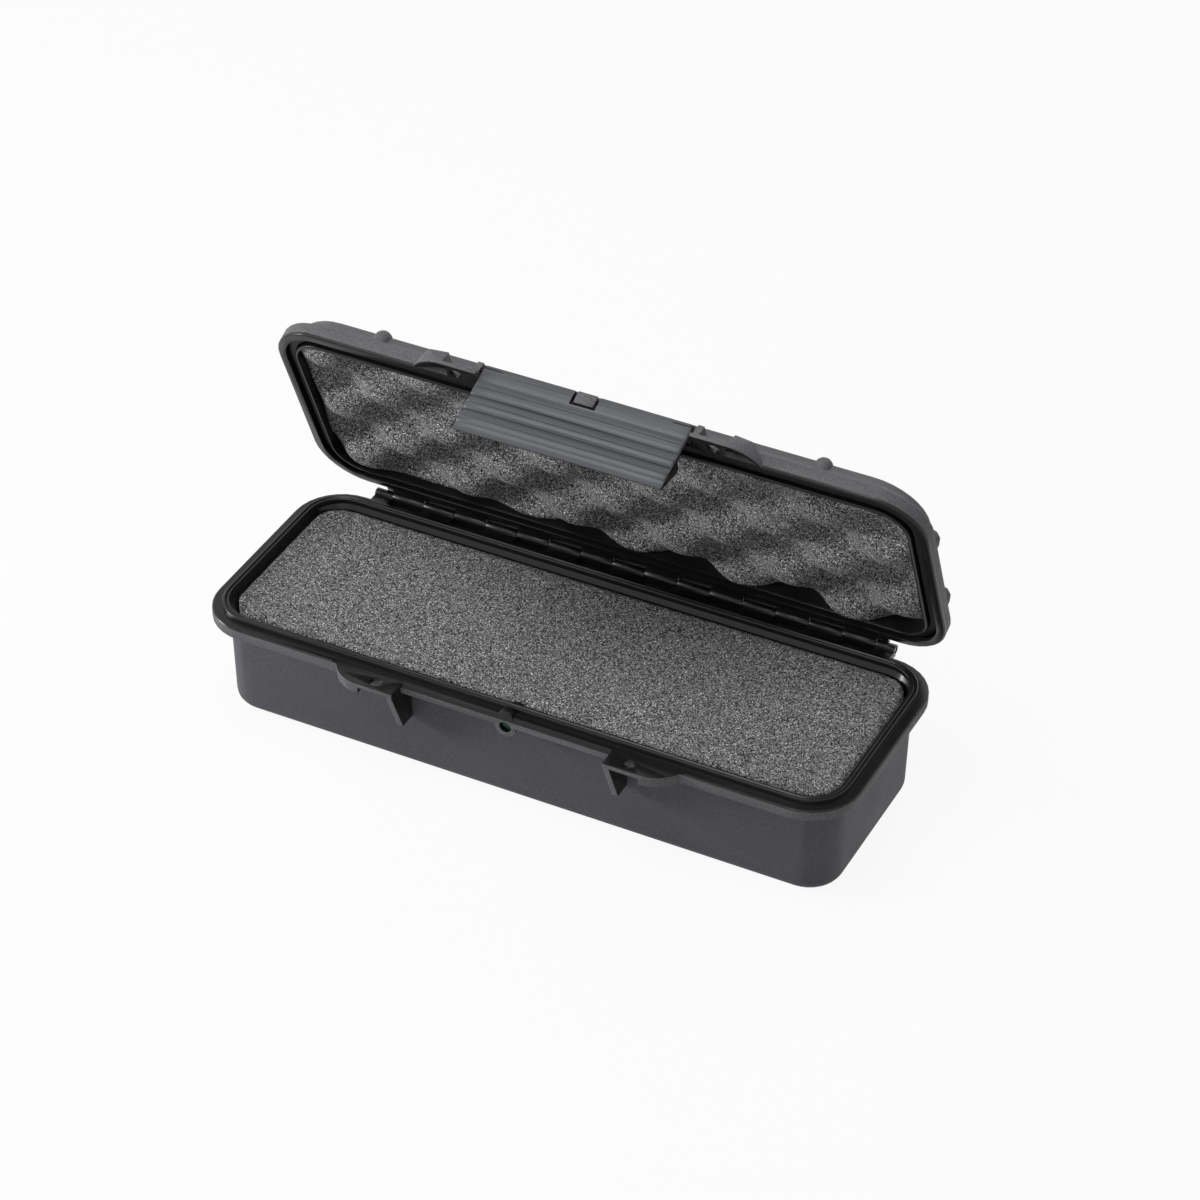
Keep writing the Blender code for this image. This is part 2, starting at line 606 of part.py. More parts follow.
def hood(side):
    """Bumper over a padlock ear: the ear's lobe, cut off by a facet that faces the latch."""
    low = PARTING + LUG_PLATE - OVERRUN
    high = PARTING + LUG_PLATE + HOOD_HEIGHT
    plan = lug_plan(1, HOOD_INNER - STEP_IN, STEP_IN)
    outer = max(x for x, _ in plan)
    foot = [(side * (HOOD_INNER - HOOD_FACET), plan[0][1], low)]
    foot += [(side * x, y, low) for x, y in plan[1:]]
    head = [(side * (HOOD_INNER + OVERRUN), plan[0][1], high)]
    head += [(side * max(x, HOOD_INNER + OVERRUN), y, high) for x, y in plan[1:]]
    body = loft("hood", [foot, head])
    edge = HOOD_INNER + HOOD_SHOULDER
    front = LUG_FRONT - OVERRUN
    slope = [(HOOD_INNER - HOOD_FACET, high), (HOOD_INNER, high), (edge, high - HOOD_FALL),
             (outer, low + OVERRUN), (outer + OVERRUN, low - OVERRUN),
             (HOOD_INNER - HOOD_FACET - OVERRUN, low - OVERRUN)]
    roof = prism("hood_roof", [(side * x, front, z) for x, z in slope], (0, 0, 0),
                 (0, FRONT + 2 * OVERRUN - front, 0))
    combine(body, roof, "INTERSECT")
    lean = [(LUG_FRONT, low + OVERRUN), (LUG_FRONT + HOOD_LEAN, high + OVERRUN),
            (LUG_FRONT - OVERRUN, high + OVERRUN), (LUG_FRONT - OVERRUN, low + OVERRUN)]
    left, right = sorted((side * (HOOD_INNER - HOOD_FACET - OVERRUN), side * (outer + OVERRUN)))
    cut(body, prism_x("hood_lean", lean, left, right))
    return body


def cheek(side):
    """Upright wall beside the latch, with a facet that spreads outward where it meets the lid."""
    low = PARTING + LUG_PLATE / 2
    top = PARTING + CHEEK_HEIGHT
    front = FRONT - CHEEK_REACH
    inner = LUG_INNER_END + STEP_IN
    outer = inner + GUSSET_THICK
    root = FRONT + OVERRUN
    foot = [(inner, root), (inner, front), (outer, front), (outer + CHEEK_FACET, root)]
    head = [(inner, root), (inner, front + CHEEK_REACH / 4),
            (outer, front + CHEEK_REACH / 4), (outer, root)]
    return loft("cheek", [[(side * x, y, low) for x, y in foot], [(side * x, y, top) for x, y in head]])


def add_ears(lid):
    """Padlock ears, the hoods over them with their pockets, and the cheeks by the latch."""
    for side in (-1, 1):
        plan = lug_plan(side, LUG_INNER_END, sink=RIM_CHAMFER / 2)
        join(lid, prism_z("ear", plan, PARTING, PARTING + LUG_PLATE))
        join(lid, hood(side))
        join(lid, cheek(side))
        pocket = lug_plan(side, PADLOCK_X + PADLOCK_HOLE, HOOD_POCKET_WALL)
        shift = FRONT - HOOD_POCKET_WALL / 2
        pocket = [(x, min(y, shift)) for x, y in pocket]
        cut(lid, prism_z("pocket", pocket, PARTING - OVERRUN, PARTING + HOOD_POCKET))
        cut(lid, padlock_hole(side, PARTING - OVERRUN, PARTING + LUG_PLATE + OVERRUN))


def add_latch_tab(lid):
    """Textured tab that fills the notch in the latch and carries its pin."""
    top = PARTING + LATCH_TOP
    join(lid, box("tab", (-TAB_HALF, FRONT - LATCH_FACE_OUT, top - TAB_DROP),
                  (TAB_HALF, FRONT + OVERRUN, top)))
    cut(lid, rod("latch_bore", (-LATCH_PIN_HALF - GAP, PIVOT_Y, PIVOT_Z),
                 (LATCH_PIN_HALF + GAP, PIVOT_Y, PIVOT_Z), LATCH_PIN_RADIUS + GAP, PIN_SIDES))
    notch = KEY_RADIUS + 2 * GAP
    key_z = RIM_HEIGHT - KEY_DROP
    cut(lid, rod("key_notch", (0, FRONT - OVERRUN, key_z),
                 (0, FRONT + RING_INSET + OVERRUN, key_z), notch, 20))


def make_lid(paint):
    lid = lid_skin()
    add_ears(lid)
    add_latch_tab(lid)
    add_lid_ribs(lid)
    root = BACK - SKIRT_WALL / 2
    add_tray(lid, HINGE_Z + KNUCKLE_RADIUS + GAP)
    high = HINGE_Z + KNUCKLE_RADIUS + GAP + TRAY_THICK / 2
    foot = PARTING + RIM_CHAMFER
    add_knuckles(lid, 1, [(root, high), (root, foot), (BACK + GAP, foot), *knuckle_arc(1),
                          (HINGE_Y, high)])
    smooth(lid, paint)
    return lid


def make_seal(paint):
    """Rubber gasket in the lid's channel."""
    top = PARTING + CHANNEL_DEPTH - GAP
    low = top - SEAL_HEIGHT
    outer = CHANNEL_OUTER + SEAL_CLEAR
    inner = CHANNEL_INNER - SEAL_CLEAR
    loops = [rim_loop(outer, top), rim_loop(outer, low + SEAL_DOME),
             rim_loop(outer + SEAL_DOME, low), rim_loop(inner - SEAL_DOME, low),
             rim_loop(inner, low + SEAL_DOME), rim_loop(inner, top)]
    seal = loft("lid_seal", loops, ring=True)
    smooth(seal, paint)
    return seal


# The latch, drawn hanging straight down as in the photograph


def latch_profile():
    """Side view of the plate: stepped ribs outside, flat inside, turned lip at the foot."""
    top = PARTING + LATCH_TOP
    face = FRONT - LATCH_FACE_OUT
    outline = []
    for first, last in zip(RIB_EDGE_SHARES, RIB_EDGE_SHARES[1:]):
        for step in range(RIB_POINTS + 1):
            share = step / RIB_POINTS
            z = top - LATCH_LENGTH * (first + (last - first) * share)
            bulge = RIB_CROWN * math.sin(math.pi * share)
            outline.append((face + RIB_STEP * (1 - share) - bulge - RIB_STEP / 2, z))
    inside = face + LATCH_THICK
    foot = top - LATCH_LENGTH
    outline += [(face + LATCH_THICK / 2, foot), (inside, foot + LIP_UP), (inside, top)]
    return outline


def latched_to_rest(y, z):
    """A point drawn with the latch hooked on, swung out to where the photograph has it."""
    dy, dz = y - PIVOT_Y, z - PIVOT_Z
    cos, sin = math.cos(LATCHED_ANGLE), math.sin(LATCHED_ANGLE)
    return (PIVOT_Y + dy * cos + dz * sin, PIVOT_Z - dy * sin + dz * cos)


def hook_profile():
    """Hook along the inside of the plate that reaches under the flange."""
    inside = FRONT - LATCH_FACE_OUT + LATCH_THICK / 2
    tip = latched_to_rest(FRONT + HOOK_GRIP, SKIRT_LOW - GAP)
    root = latched_to_rest(FRONT - LATCH_THICK, SKIRT_LOW - GAP)
    return [(inside, root[1]), root, tip, (tip[0] - HOOK_LEAN, tip[1] - HOOK_DEPTH),
            (inside, root[1] - 2 * HOOK_DEPTH)]


def stay_profile():
    """Wedge behind the plate, widest below the hook and running out at the plate's foot."""
    top = PARTING + LATCH_TOP
    face = FRONT - LATCH_FACE_OUT
    inside = face + LATCH_THICK
    foot = top - LATCH_LENGTH
    nose = inside + STAY_OUT - STAY_NOSE
    return [(face + LATCH_THICK / 2, top - STAY_TOP), (nose, top - STAY_TOP),
            (inside + STAY_OUT, top - STAY_TOP - STAY_NOSE), (inside, foot + LIP_UP / 2),
            (face + LATCH_THICK / 2, foot + LIP_UP / 2)]


def make_latch(paint):
    latch = prism_x("latch_plate", latch_profile(), -LATCH_HALF, LATCH_HALF)
    end = LATCH_HALF - STEP_IN
    join(latch, rod("barrel", (-end, PIVOT_Y, PIVOT_Z), (end, PIVOT_Y, PIVOT_Z),
                    LATCH_BARREL, 16))
    for side in (-1, 1):
        low, high = sorted((side * HOOK_NOTCH_HALF, side * HOOK_HALF))
        join(latch, prism_x("hook", hook_profile(), low, high))
        outer = LATCH_HALF - GAP
        while outer - STAY_THICK > HOOK_NOTCH_HALF:
            low, high = sorted((side * outer, side * (outer - STAY_THICK)))
            join(latch, prism_x("stay", stay_profile(), low, high))
            outer -= STAY_PITCH
    top = PARTING + LATCH_TOP
    face = FRONT - LATCH_FACE_OUT
    cut(latch, box("notch", (-NOTCH_HALF, face - LATCH_BARREL, top - TAB_DROP - NOTCH_BELOW),
                   (NOTCH_HALF, FRONT, top + OVERRUN)))
    cut(latch, rod("bore", (-LATCH_HALF - OVERRUN, PIVOT_Y, PIVOT_Z),
                   (LATCH_HALF + OVERRUN, PIVOT_Y, PIVOT_Z), LATCH_PIN_RADIUS + GAP, PIN_SIDES))
    smooth(latch, paint)
    return latch


def make_latch_pin(paint):
    pin = rod("latch_pin", (-LATCH_PIN_HALF, PIVOT_Y, PIVOT_Z), (LATCH_PIN_HALF, PIVOT_Y, PIVOT_Z),
              LATCH_PIN_RADIUS, PIN_SIDES)
    smooth(pin, paint)
    return pin


# Foam


def foam_plan(low):
    """Plan of a foam block that slips down inside the tub's walls."""
    inset = WALL + FOAM_CLEAR - low * LEAN
    return rounded_plan(TUB_LENGTH - 2 * inset, TUB_DEPTH - 2 * inset, TUB_CORNER - inset)


def make_base_foam(paint):
    """A flat pad on the floor and the thick block above it."""
    inner_edge = TUB_EDGE - WALL / 2
    low = FLOOR + GAP
    pad_top = low + PAD_THICK
    pad_plan = rounded_plan(TUB_LENGTH - 2 * (WALL + inner_edge), TUB_DEPTH - 2 * (WALL + inner_edge),
                            TUB_CORNER - inner_edge)
    pad = prism_z("base_foam_pad", pad_plan, low, pad_top)
    smooth(pad, paint)
    block = prism_z("base_foam_block", foam_plan(pad_top), pad_top + GAP, RIM_HEIGHT - FOAM_DROP)
    smooth(block, paint)


def wave(x, y):
    """Height of the egg-crate face, 0 in its dips and 1 on its peaks."""
    turned_x = x * math.cos(WAVE_TURN) + y * math.sin(WAVE_TURN)
    turned_y = y * math.cos(WAVE_TURN) - x * math.sin(WAVE_TURN)
    along = math.cos(2 * math.pi * (turned_x - WAVE_START_X) / WAVE_X)
    across = math.cos(2 * math.pi * (turned_y - WAVE_START_Y) / WAVE_Y)
    return (1 + along * across) / 2


def make_lid_foam(paint):
    """Egg-crate foam: a grid with the wave on its lower face, trimmed to rounded corners."""
    inset = CAVITY_INSET + FOAM_CLEAR
    length = RIM_LENGTH - 2 * inset
    depth = RIM_DEPTH - 2 * inset
    top = LID_CEILING - GAP
    peak = PARTING - WAVE_PEAK_DROP
    bm = bmesh.new()
    bmesh.ops.create_grid(bm, x_segments=WAVE_COLUMNS, y_segments=WAVE_ROWS, size=0.5)
    for vert in bm.verts:
        x = vert.co.x * (length + OVERRUN)
        y = RIM_Y + vert.co.y * (depth + OVERRUN)
        vert.co = (x, y, peak + WAVE_DEPTH * (1 - wave(x, y)))
    edges = [edge for edge in bm.edges if edge.is_boundary]
    grown = bmesh.ops.extrude_edge_only(bm, edges=edges)
    rim = [item for item in grown["geom"] if isinstance(item, bmesh.types.BMVert)]
    for vert in rim:
        vert.co.z = top
    bmesh.ops.contextual_create(bm, geom=[edge for edge in bm.edges if edge.is_boundary])
    foam = finish_mesh("lid_foam", bm)
    plan = rounded_plan(length, depth, RIM_CORNER - inset, RIM_Y, FOAM_CORNER_STEPS)
    trim = prism_z("foam_trim", plan, peak - OVERRUN, top + OVERRUN)
    combine(foam, trim, "INTERSECT")
    smooth(foam, paint, 60.0)
    return foam


# Opening the lid


def place_on_axis(name, y, z):
    """An empty on a joint's axis, which carries the pieces that turn about it."""
    axis = bpy.data.objects.new(name, None)
    axis.location = (0, y, z)
    PART.objects.link(axis)
    return axis


def hang(piece, axis):
    """Parents a piece to an axis, with the piece's own origin on that axis."""
    piece.data.transform(Matrix.Translation(-axis.matrix_world.translation))
    piece.parent = axis


def main():
    clear_scene()
    shell = material("textured_polypropylene", (0.068, 0.069, 0.075), 0.62)
    lid_paint = material("textured_polypropylene_lid", (0.10, 0.10, 0.105), 0.62)
    latch_paint = material("satin_nylon", (0.15, 0.15, 0.16), 0.4)
    foam = material("open_cell_foam", (0.10, 0.10, 0.10), 0.95)
    rubber = material("seal_rubber", (0.012, 0.012, 0.012), 0.5)
    steel = material("steel_pin", (0.55, 0.55, 0.56), 0.3, 1.0)
    valve = material("valve_plastic", (0.02, 0.02, 0.02), 0.4)
    membrane = material("membrane", (0.55, 0.80, 0.72), 0.5)

    make_tub(shell)
    make_valve(valve, membrane, rubber)
    make_hinge_pin(steel)
    make_base_foam(foam)

    hinge = place_on_axis("lid_axis", HINGE_Y, HINGE_Z)
    pivot = place_on_axis("latch_axis", PIVOT_Y, PIVOT_Z)
    bpy.context.view_layer.update()
    pieces = [(make_lid(lid_paint), hinge), (make_seal(rubber), hinge),
              (make_lid_foam(foam), hinge), (make_latch_pin(steel), hinge),
              (make_latch(latch_paint), pivot)]
    for piece, axis in pieces:
        hang(piece, axis)
    pivot.location = (0, PIVOT_Y - HINGE_Y, PIVOT_Z - HINGE_Z)
    pivot.parent = hinge
    hinge.rotation_euler = (-LID_OPEN, 0, 0)


main()
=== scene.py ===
# %% [markdown]
# # A long hard case, standing open
# The object is a long, narrow protective case: a moulded tub, a lid on a hinge that runs the
# whole length, one wide latch, thick foam below and egg-crate foam in the lid. The solid model
# already has every size right. This scene gives each piece its real surface, builds the foam and
# the latch again with the detail that they have close up, and lights them as in a studio.

# %% Load the solid model
import math

import bmesh
import bpy
from mathutils import Matrix, Vector, noise
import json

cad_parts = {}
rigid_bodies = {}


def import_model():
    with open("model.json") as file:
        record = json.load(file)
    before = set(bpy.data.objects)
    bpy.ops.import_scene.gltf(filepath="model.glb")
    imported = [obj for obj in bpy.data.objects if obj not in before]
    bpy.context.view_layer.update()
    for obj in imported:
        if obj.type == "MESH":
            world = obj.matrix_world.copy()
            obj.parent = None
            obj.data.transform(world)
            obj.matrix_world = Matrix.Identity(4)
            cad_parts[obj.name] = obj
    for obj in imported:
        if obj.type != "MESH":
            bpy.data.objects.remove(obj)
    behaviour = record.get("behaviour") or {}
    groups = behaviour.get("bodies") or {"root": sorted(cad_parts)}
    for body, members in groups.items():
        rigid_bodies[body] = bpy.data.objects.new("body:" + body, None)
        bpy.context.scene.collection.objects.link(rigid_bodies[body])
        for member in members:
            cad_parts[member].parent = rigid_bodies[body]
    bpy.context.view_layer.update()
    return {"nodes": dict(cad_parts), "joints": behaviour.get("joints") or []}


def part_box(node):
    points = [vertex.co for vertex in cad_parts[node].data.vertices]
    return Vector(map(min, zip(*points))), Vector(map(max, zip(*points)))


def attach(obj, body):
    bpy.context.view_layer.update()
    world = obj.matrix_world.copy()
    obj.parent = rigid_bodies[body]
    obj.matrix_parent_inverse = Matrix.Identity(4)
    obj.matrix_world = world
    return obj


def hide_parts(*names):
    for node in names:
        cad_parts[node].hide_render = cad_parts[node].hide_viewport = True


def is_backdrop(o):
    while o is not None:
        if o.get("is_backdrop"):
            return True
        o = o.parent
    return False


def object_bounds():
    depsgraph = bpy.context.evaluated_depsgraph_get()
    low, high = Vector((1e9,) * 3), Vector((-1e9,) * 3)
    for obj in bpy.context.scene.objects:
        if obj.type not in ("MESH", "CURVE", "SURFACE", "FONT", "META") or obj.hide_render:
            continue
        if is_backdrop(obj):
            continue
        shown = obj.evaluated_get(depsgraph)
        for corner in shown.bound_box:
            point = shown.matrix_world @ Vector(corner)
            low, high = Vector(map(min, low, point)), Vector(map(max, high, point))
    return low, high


MM = 0.001

for thing in list(bpy.data.objects):
    bpy.data.objects.remove(thing, do_unlink=True)
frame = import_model()

# %% [markdown]
# The lid stands open at an angle, and so do its foam and its latch. Their shapes are much easier
# to write down with the lid shut, when everything is square to the axes. The hinge's place and
# its range say how far the lid has to turn from there, so two matrices carry points between the
# shut lid and the open one.

# %% From the shut lid to the open one
hinge = next(joint for joint in frame["joints"] if joint["name"] == "lid_hinge")
hinge_at = Vector(hinge["pos_m"])
lid_open = math.radians(-hinge["range_deg"][0])
to_shut = (Matrix.Translation(hinge_at) @ Matrix.Rotation(lid_open, 4, "X")
           @ Matrix.Translation(-hinge_at))
to_open = to_shut.inverted()
print("the lid is open by", round(math.degrees(lid_open), 2), "degrees")


# %% [markdown]
# The photograph was taken from the front right and well above, through a long lens, which keeps
# the far corner nearly as large as the near one. The camera's place and its three directions were
# solved from the straight edges of tub, rim and lid, so they are written here as numbers.

# %% Camera
lens = bpy.data.cameras.new("studio_camera")
lens.sensor_width = 36.0
lens.lens = 122.48  # millimetres
camera = bpy.data.objects.new("studio_camera", lens)
bpy.context.scene.collection.objects.link(camera)
to_right = Vector((0.8922198, 0.45157218, 0.00513798))
to_top = Vector((-0.27521007, 0.53467127, 0.79899065))
to_back = Vector((0.35805482, -0.7142893, 0.6013215))
aim = Matrix((to_right, to_top, to_back)).transposed().to_4x4()
camera.matrix_world = Matrix.Translation((0.83953, -1.63297, 1.48113)) @ aim
bpy.context.scene.camera = camera
print("the camera is", round(camera.location.length, 2), "m from the case")


# %% [markdown]
# Every material below is a small tree of nodes. One function adds a node with its settings and
# its links, so that a tree reads as a list of what it does, and another starts a material. Colours
# are written as the sRGB hex values that a paint program shows, and a third function turns them to
# the linear values that the renderer needs.

# %% Helpers for materials
def linear(hex_colour):
    """Linear red, green, blue and alpha of an sRGB hex colour."""
    parts = [int(hex_colour[i:i + 2], 16) / 255 for i in (1, 3, 5)]
    bent = [part / 12.92 if part <= 0.04045 else ((part + 0.055) / 1.055) ** 2.4 for part in parts]
    return (*bent, 1.0)


def add_node(tree, kind, settings=None, links=None):
    """Adds a node. Settings name its properties or inputs, links join inputs to outputs."""
    node = tree.nodes.new(kind)
    for name, value in (settings or {}).items():
        if isinstance(name, int) or name in node.inputs:
            node.inputs[name].default_value = value
        else:
            setattr(node, name, value)
    for name, output in (links or {}).items():
        tree.links.new(output, node.inputs[name])
    return node


def new_material(name, settings):
    """A material with its own shader, and its tree."""
    finish = bpy.data.materials.new(name)
    finish.use_nodes = True
    tree = finish.node_tree
    shader = tree.nodes["Principled BSDF"]
    for socket, value in settings.items():
        shader.inputs[socket].default_value = value
    return finish, tree, shader


print("#808080 is", round(linear("#808080")[0], 3), "in linear light")

# %% [markdown]
# The studio has a white floor and two main lamps. A big soft one hangs above and a little to the
# left. A smaller one stands low at the left, because the open lid faces down towards the front, and
# only light that grazes its foam from the side shows the waves. Weak lamps in front and behind
# open up the shadows. The lamps are set so that a colour renders about as it is written.
#
# The background of the photograph is pure white. The world is white only to the camera and in
# reflections, and the floor adds part of its white only there, so the case isn't lit by it.

# %% Lamps
def add_lamp(name, place, target, size, watts):
    """A square area lamp that points at a target."""
    lamp = bpy.data.lights.new(name, "AREA")
    lamp.size = size
    lamp.energy = watts
    holder = bpy.data.objects.new(name, lamp)
    holder.location = place
    holder.rotation_euler = (Vector(target) - Vector(place)).to_track_quat("-Z", "Y").to_euler()
    bpy.context.scene.collection.objects.link(holder)


case_middle = (0.0, 0.0, 0.1)
add_lamp("key_softbox", (-0.4, -0.45, 2.0), case_middle, 1.3, 26.0)
add_lamp("low_softbox", (-1.8, -0.75, 0.5), case_middle, 0.4, 30.0)
add_lamp("fill_softbox", (0.6, -2.0, 1.2), case_middle, 1.2, 2.5)
add_lamp("back_softbox", (0.2, 1.6, 1.4), case_middle, 1.0, 6.0)
print(len(bpy.data.lights), "lamps")


# %% Background and floor
room_light = 0.18
paper_glow = 0.92
reach = 6.0


def seen_directly(tree):
    """1 for what the camera sees, also by reflection or through glass, else 0."""
    path = add_node(tree, "ShaderNodeLightPath")
    either = add_node(tree, "ShaderNodeMath", {"operation": "MAXIMUM"},
                      {0: path.outputs["Is Camera Ray"], 1: path.outputs["Is Glossy Ray"]})
    return add_node(tree, "ShaderNodeMath", {"operation": "MAXIMUM"},
                    {0: either.outputs[0], 1: path.outputs["Is Transmission Ray"]}).outputs[0]


world = bpy.data.worlds.new("white_studio")
world.use_nodes = True
bpy.context.scene.world = world
world_tree = world.node_tree
strength = add_node(world_tree, "ShaderNodeMapRange", {"To Min": room_light, "To Max": 1.0},
                    {"Value": seen_directly(world_tree)})
background = world_tree.nodes["Background"]
background.inputs["Color"].default_value = (1.0, 1.0, 1.0, 1.0)
world_tree.links.new(strength.outputs["Result"], background.inputs["Strength"])

floor_finish, floor_tree, floor_shader = new_material(
    "white_paper", {"Base Color": linear("#DCDCDC"), "Roughness": 0.9, "Specular IOR Level": 0.0})
glow = add_node(floor_tree, "ShaderNodeMapRange", {"To Min": 0.0, "To Max": paper_glow},
                {"Value": seen_directly(floor_tree)})
paper_white = add_node(floor_tree, "ShaderNodeEmission", {"Strength": 1.0})
paper = add_node(floor_tree, "ShaderNodeMixShader", None,
                 {0: glow.outputs["Result"], 1: floor_shader.outputs[0],
                  2: paper_white.outputs[0]})
floor_tree.links.new(paper.outputs[0], floor_tree.nodes["Material Output"].inputs["Surface"])

floor_mesh = bpy.data.meshes.new("floor")
floor_mesh.from_pydata([(-reach, -reach, 0), (reach, -reach, 0), (reach, reach, 0),
                        (-reach, reach, 0)], [], [(0, 1, 2, 3)])
floor_mesh.materials.append(floor_finish)
floor = bpy.data.objects.new("floor", floor_mesh)
floor.location.z = -0.2 * MM
bpy.context.scene.collection.objects.link(floor)
floor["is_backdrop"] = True
print("the floor is", 2 * reach, "m wide")


# %% [markdown]
# Tub and lid are injection moulded in polypropylene, coloured dark grey right through. The mould
# is spark eroded on the outside, which leaves a fine pebbled grain that scatters the light and
# looks pale. Where the mould is polished, on the rim, the sealing ring and the hinge, the same
# plastic looks almost black and has soft highlights. The same near-black finish also serves as
# painted shade, on the latch's works, the sides of the gussets and the walls of the padlock holes.
#
# The real grain is about 0.3 mm on the lid and finer on the tub, less than a pixel here, so it is
# drawn at 1.0 and 0.7 mm. The two grains also differ in grey, partly as painted light and shade:
# the paler one goes on the lid, the skirt and the lug fronts, which face the lamps, and the darker
# one on the tub's walls, in the shade below the rim. A second, slower noise gives the small
# differences in gloss that handling leaves.

# %% Moulded polypropylene, pebbled
def pebbled_polypropylene(name, dark, pale, grain):
    """Spark-eroded plastic: matte, with a fine grain between two greys."""
    finish, tree, shader = new_material(name, {"IOR": 1.49, "Specular IOR Level": 0.45})
    place = add_node(tree, "ShaderNodeTexCoord").outputs["Object"]
    pebbles = add_node(tree, "ShaderNodeTexNoise",
                       {"Scale": 1 / grain, "Detail": 2.0, "Roughness": 0.6}, {"Vector": place})
    handling = add_node(tree, "ShaderNodeTexNoise", {"Scale": 1 / (30 * MM), "Detail": 3.0},
                        {"Vector": place})
    spread = add_node(tree, "ShaderNodeMapRange", {"From Min": 0.3, "From Max": 0.7},
                      {"Value": pebbles.outputs["Fac"]})
    shade = add_node(tree, "ShaderNodeMix",
                     {"data_type": "RGBA", 6: linear(dark), 7: linear(pale)},
                     {0: spread.outputs["Result"]})
    tree.links.new(shade.outputs[2], shader.inputs["Base Color"])
    gloss = add_node(tree, "ShaderNodeMapRange", {"To Min": 0.55, "To Max": 0.75},
                     {"Value": handling.outputs["Fac"]})
    tree.links.new(gloss.outputs["Result"], shader.inputs["Roughness"])
    bump = add_node(tree, "ShaderNodeBump", {"Strength": 0.5, "Distance": 0.12 * MM},
                    {"Height": pebbles.outputs["Fac"]})
    tree.links.new(bump.outputs["Normal"], shader.inputs["Normal"])
    return finish


# The fine grain's darker greys are partly painted shade, the coarse grain's paler ones partly
# painted light.
tub_grain_and_shade = pebbled_polypropylene("fine_pebbled_polypropylene_and_shade", "#343338", "#4D4C52", 0.7 * MM)
lid_grain_and_painted_light = pebbled_polypropylene("coarse_pebbled_polypropylene_and_painted_light", "#3F3F41", "#616164", 1.0 * MM)


# %% Moulded polypropylene, polished mould, also used as painted shade
def satin_and_shade_polypropylene(name, colour):
    """The same plastic from a polished part of the mould: darker, with soft highlights; also
    painted shade.
    """
    finish, tree, shader = new_material(
        name, {"Base Color": linear(colour), "IOR": 1.49, "Specular IOR Level": 0.3})
    place = add_node(tree, "ShaderNodeTexCoord").outputs["Object"]
    flow = add_node(tree, "ShaderNodeTexNoise", {"Scale": 1 / (12 * MM), "Detail": 4.0},
                    {"Vector": place})
    gloss = add_node(tree, "ShaderNodeMapRange", {"To Min": 0.24, "To Max": 0.36},
                     {"Value": flow.outputs["Fac"]})
    tree.links.new(gloss.outputs["Result"], shader.inputs["Roughness"])
    bump = add_node(tree, "ShaderNodeBump", {"Strength": 0.3, "Distance": 0.03 * MM},
                    {"Height": flow.outputs["Fac"]})
    tree.links.new(bump.outputs["Normal"], shader.inputs["Normal"])
    return finish


satin_and_shade = satin_and_shade_polypropylene("satin_and_shade_polypropylene", "#121214")
print("two grains and a polish for polypropylene")


# %% [markdown]
# The solid shells have all their forms, but their edges are perfectly sharp, and no moulded
# plastic has such edges: a radius of a few tenths of a millimetre catches the light along each of
# them. So each shell is shown by a copy whose flat triangles are merged and whose edges are
# rounded by a Bevel modifier. Each face of the copy then gets grain or polish, by where it lies
# and which way it looks; on a few faces the near-black polish is partly painted shade. How far a
# face lies inside the rim's rounded outline decides most of it, so that is a function of its own.

# %% Where a face lies
rim_top = hinge_at.z + 0.35 * MM
rim_back = hinge_at.y - 7.6 * MM
rim_front = -75.11 * MM
rim_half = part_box("base_shell")[1].x
rim_corner = 30.4 * MM
hinge_side = rim_back + 0.5 * MM
padlock_eye = (79.3 * MM, rim_front - 4.6 * MM)
eye_radius = 4.2 * MM


def rim_inset(place):
    """How far a point lies inside the rim's outline in plan, negative outside."""
    past_x = abs(place.x) - (rim_half - rim_corner)
    past_y = abs(place.y - (rim_front + rim_back) / 2) - ((rim_back - rim_front) / 2 - rim_corner)
    beyond = math.hypot(max(past_x, 0.0), max(past_y, 0.0))
    return rim_corner - beyond - min(max(past_x, past_y), 0.0)


def faces_inward(place, normal):
    """Whether a face looks clearly towards the upright line through the middle of the case."""
    return place.x * normal.x + place.y * normal.y < -1 * MM


def in_eye(place):
    """Whether a point lies on the wall of a padlock hole."""
    return math.hypot(abs(place.x) - padlock_eye[0], place.y - padlock_eye[1]) < eye_radius


print("the rim lies", round(rim_top / MM, 1), "mm above the floor")

# %% Rounded copies of the shells
def show(name, mesh, body, node):
    """A piece in the scene that rides on a body and stands for a solid node."""
    piece = bpy.data.objects.new(name, mesh)
    bpy.context.scene.collection.objects.link(piece)
    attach(piece, body)
    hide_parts(node)
    return piece


def rounded_copy(node, name, body, radius, pick_finish, split=None):
    """A welded copy of a node with small radii on its edges and a finish picked for each face."""
    bm = bmesh.new()
    bm.from_mesh(frame["nodes"][node].data)
    bmesh.ops.remove_doubles(bm, verts=bm.verts, dist=0.002 * MM)
    bmesh.ops.dissolve_limit(bm, angle_limit=math.radians(0.6), verts=bm.verts, edges=bm.edges)
    if split:
        bmesh.ops.bisect_plane(bm, geom=[*bm.verts, *bm.edges, *bm.faces], dist=0.001 * MM,
                               plane_co=split[0], plane_no=split[1])
    for face in bm.faces:
        face.smooth = True
        face.material_index = pick_finish(face.calc_center_median(), face.normal)
    mesh = bpy.data.meshes.new(name)
    bm.to_mesh(mesh)
    bm.free()
    piece = show(name, mesh, body, node)
    bevel = piece.modifiers.new("moulded_radius", "BEVEL")
    bevel.width = radius
    bevel.segments = 2
    bevel.limit_method = "ANGLE"
    bevel.angle_limit = math.radians(28)
    bevel.harden_normals = True
    print(name, "has", len(mesh.polygons), "faces before its edges are rounded")
    return piece


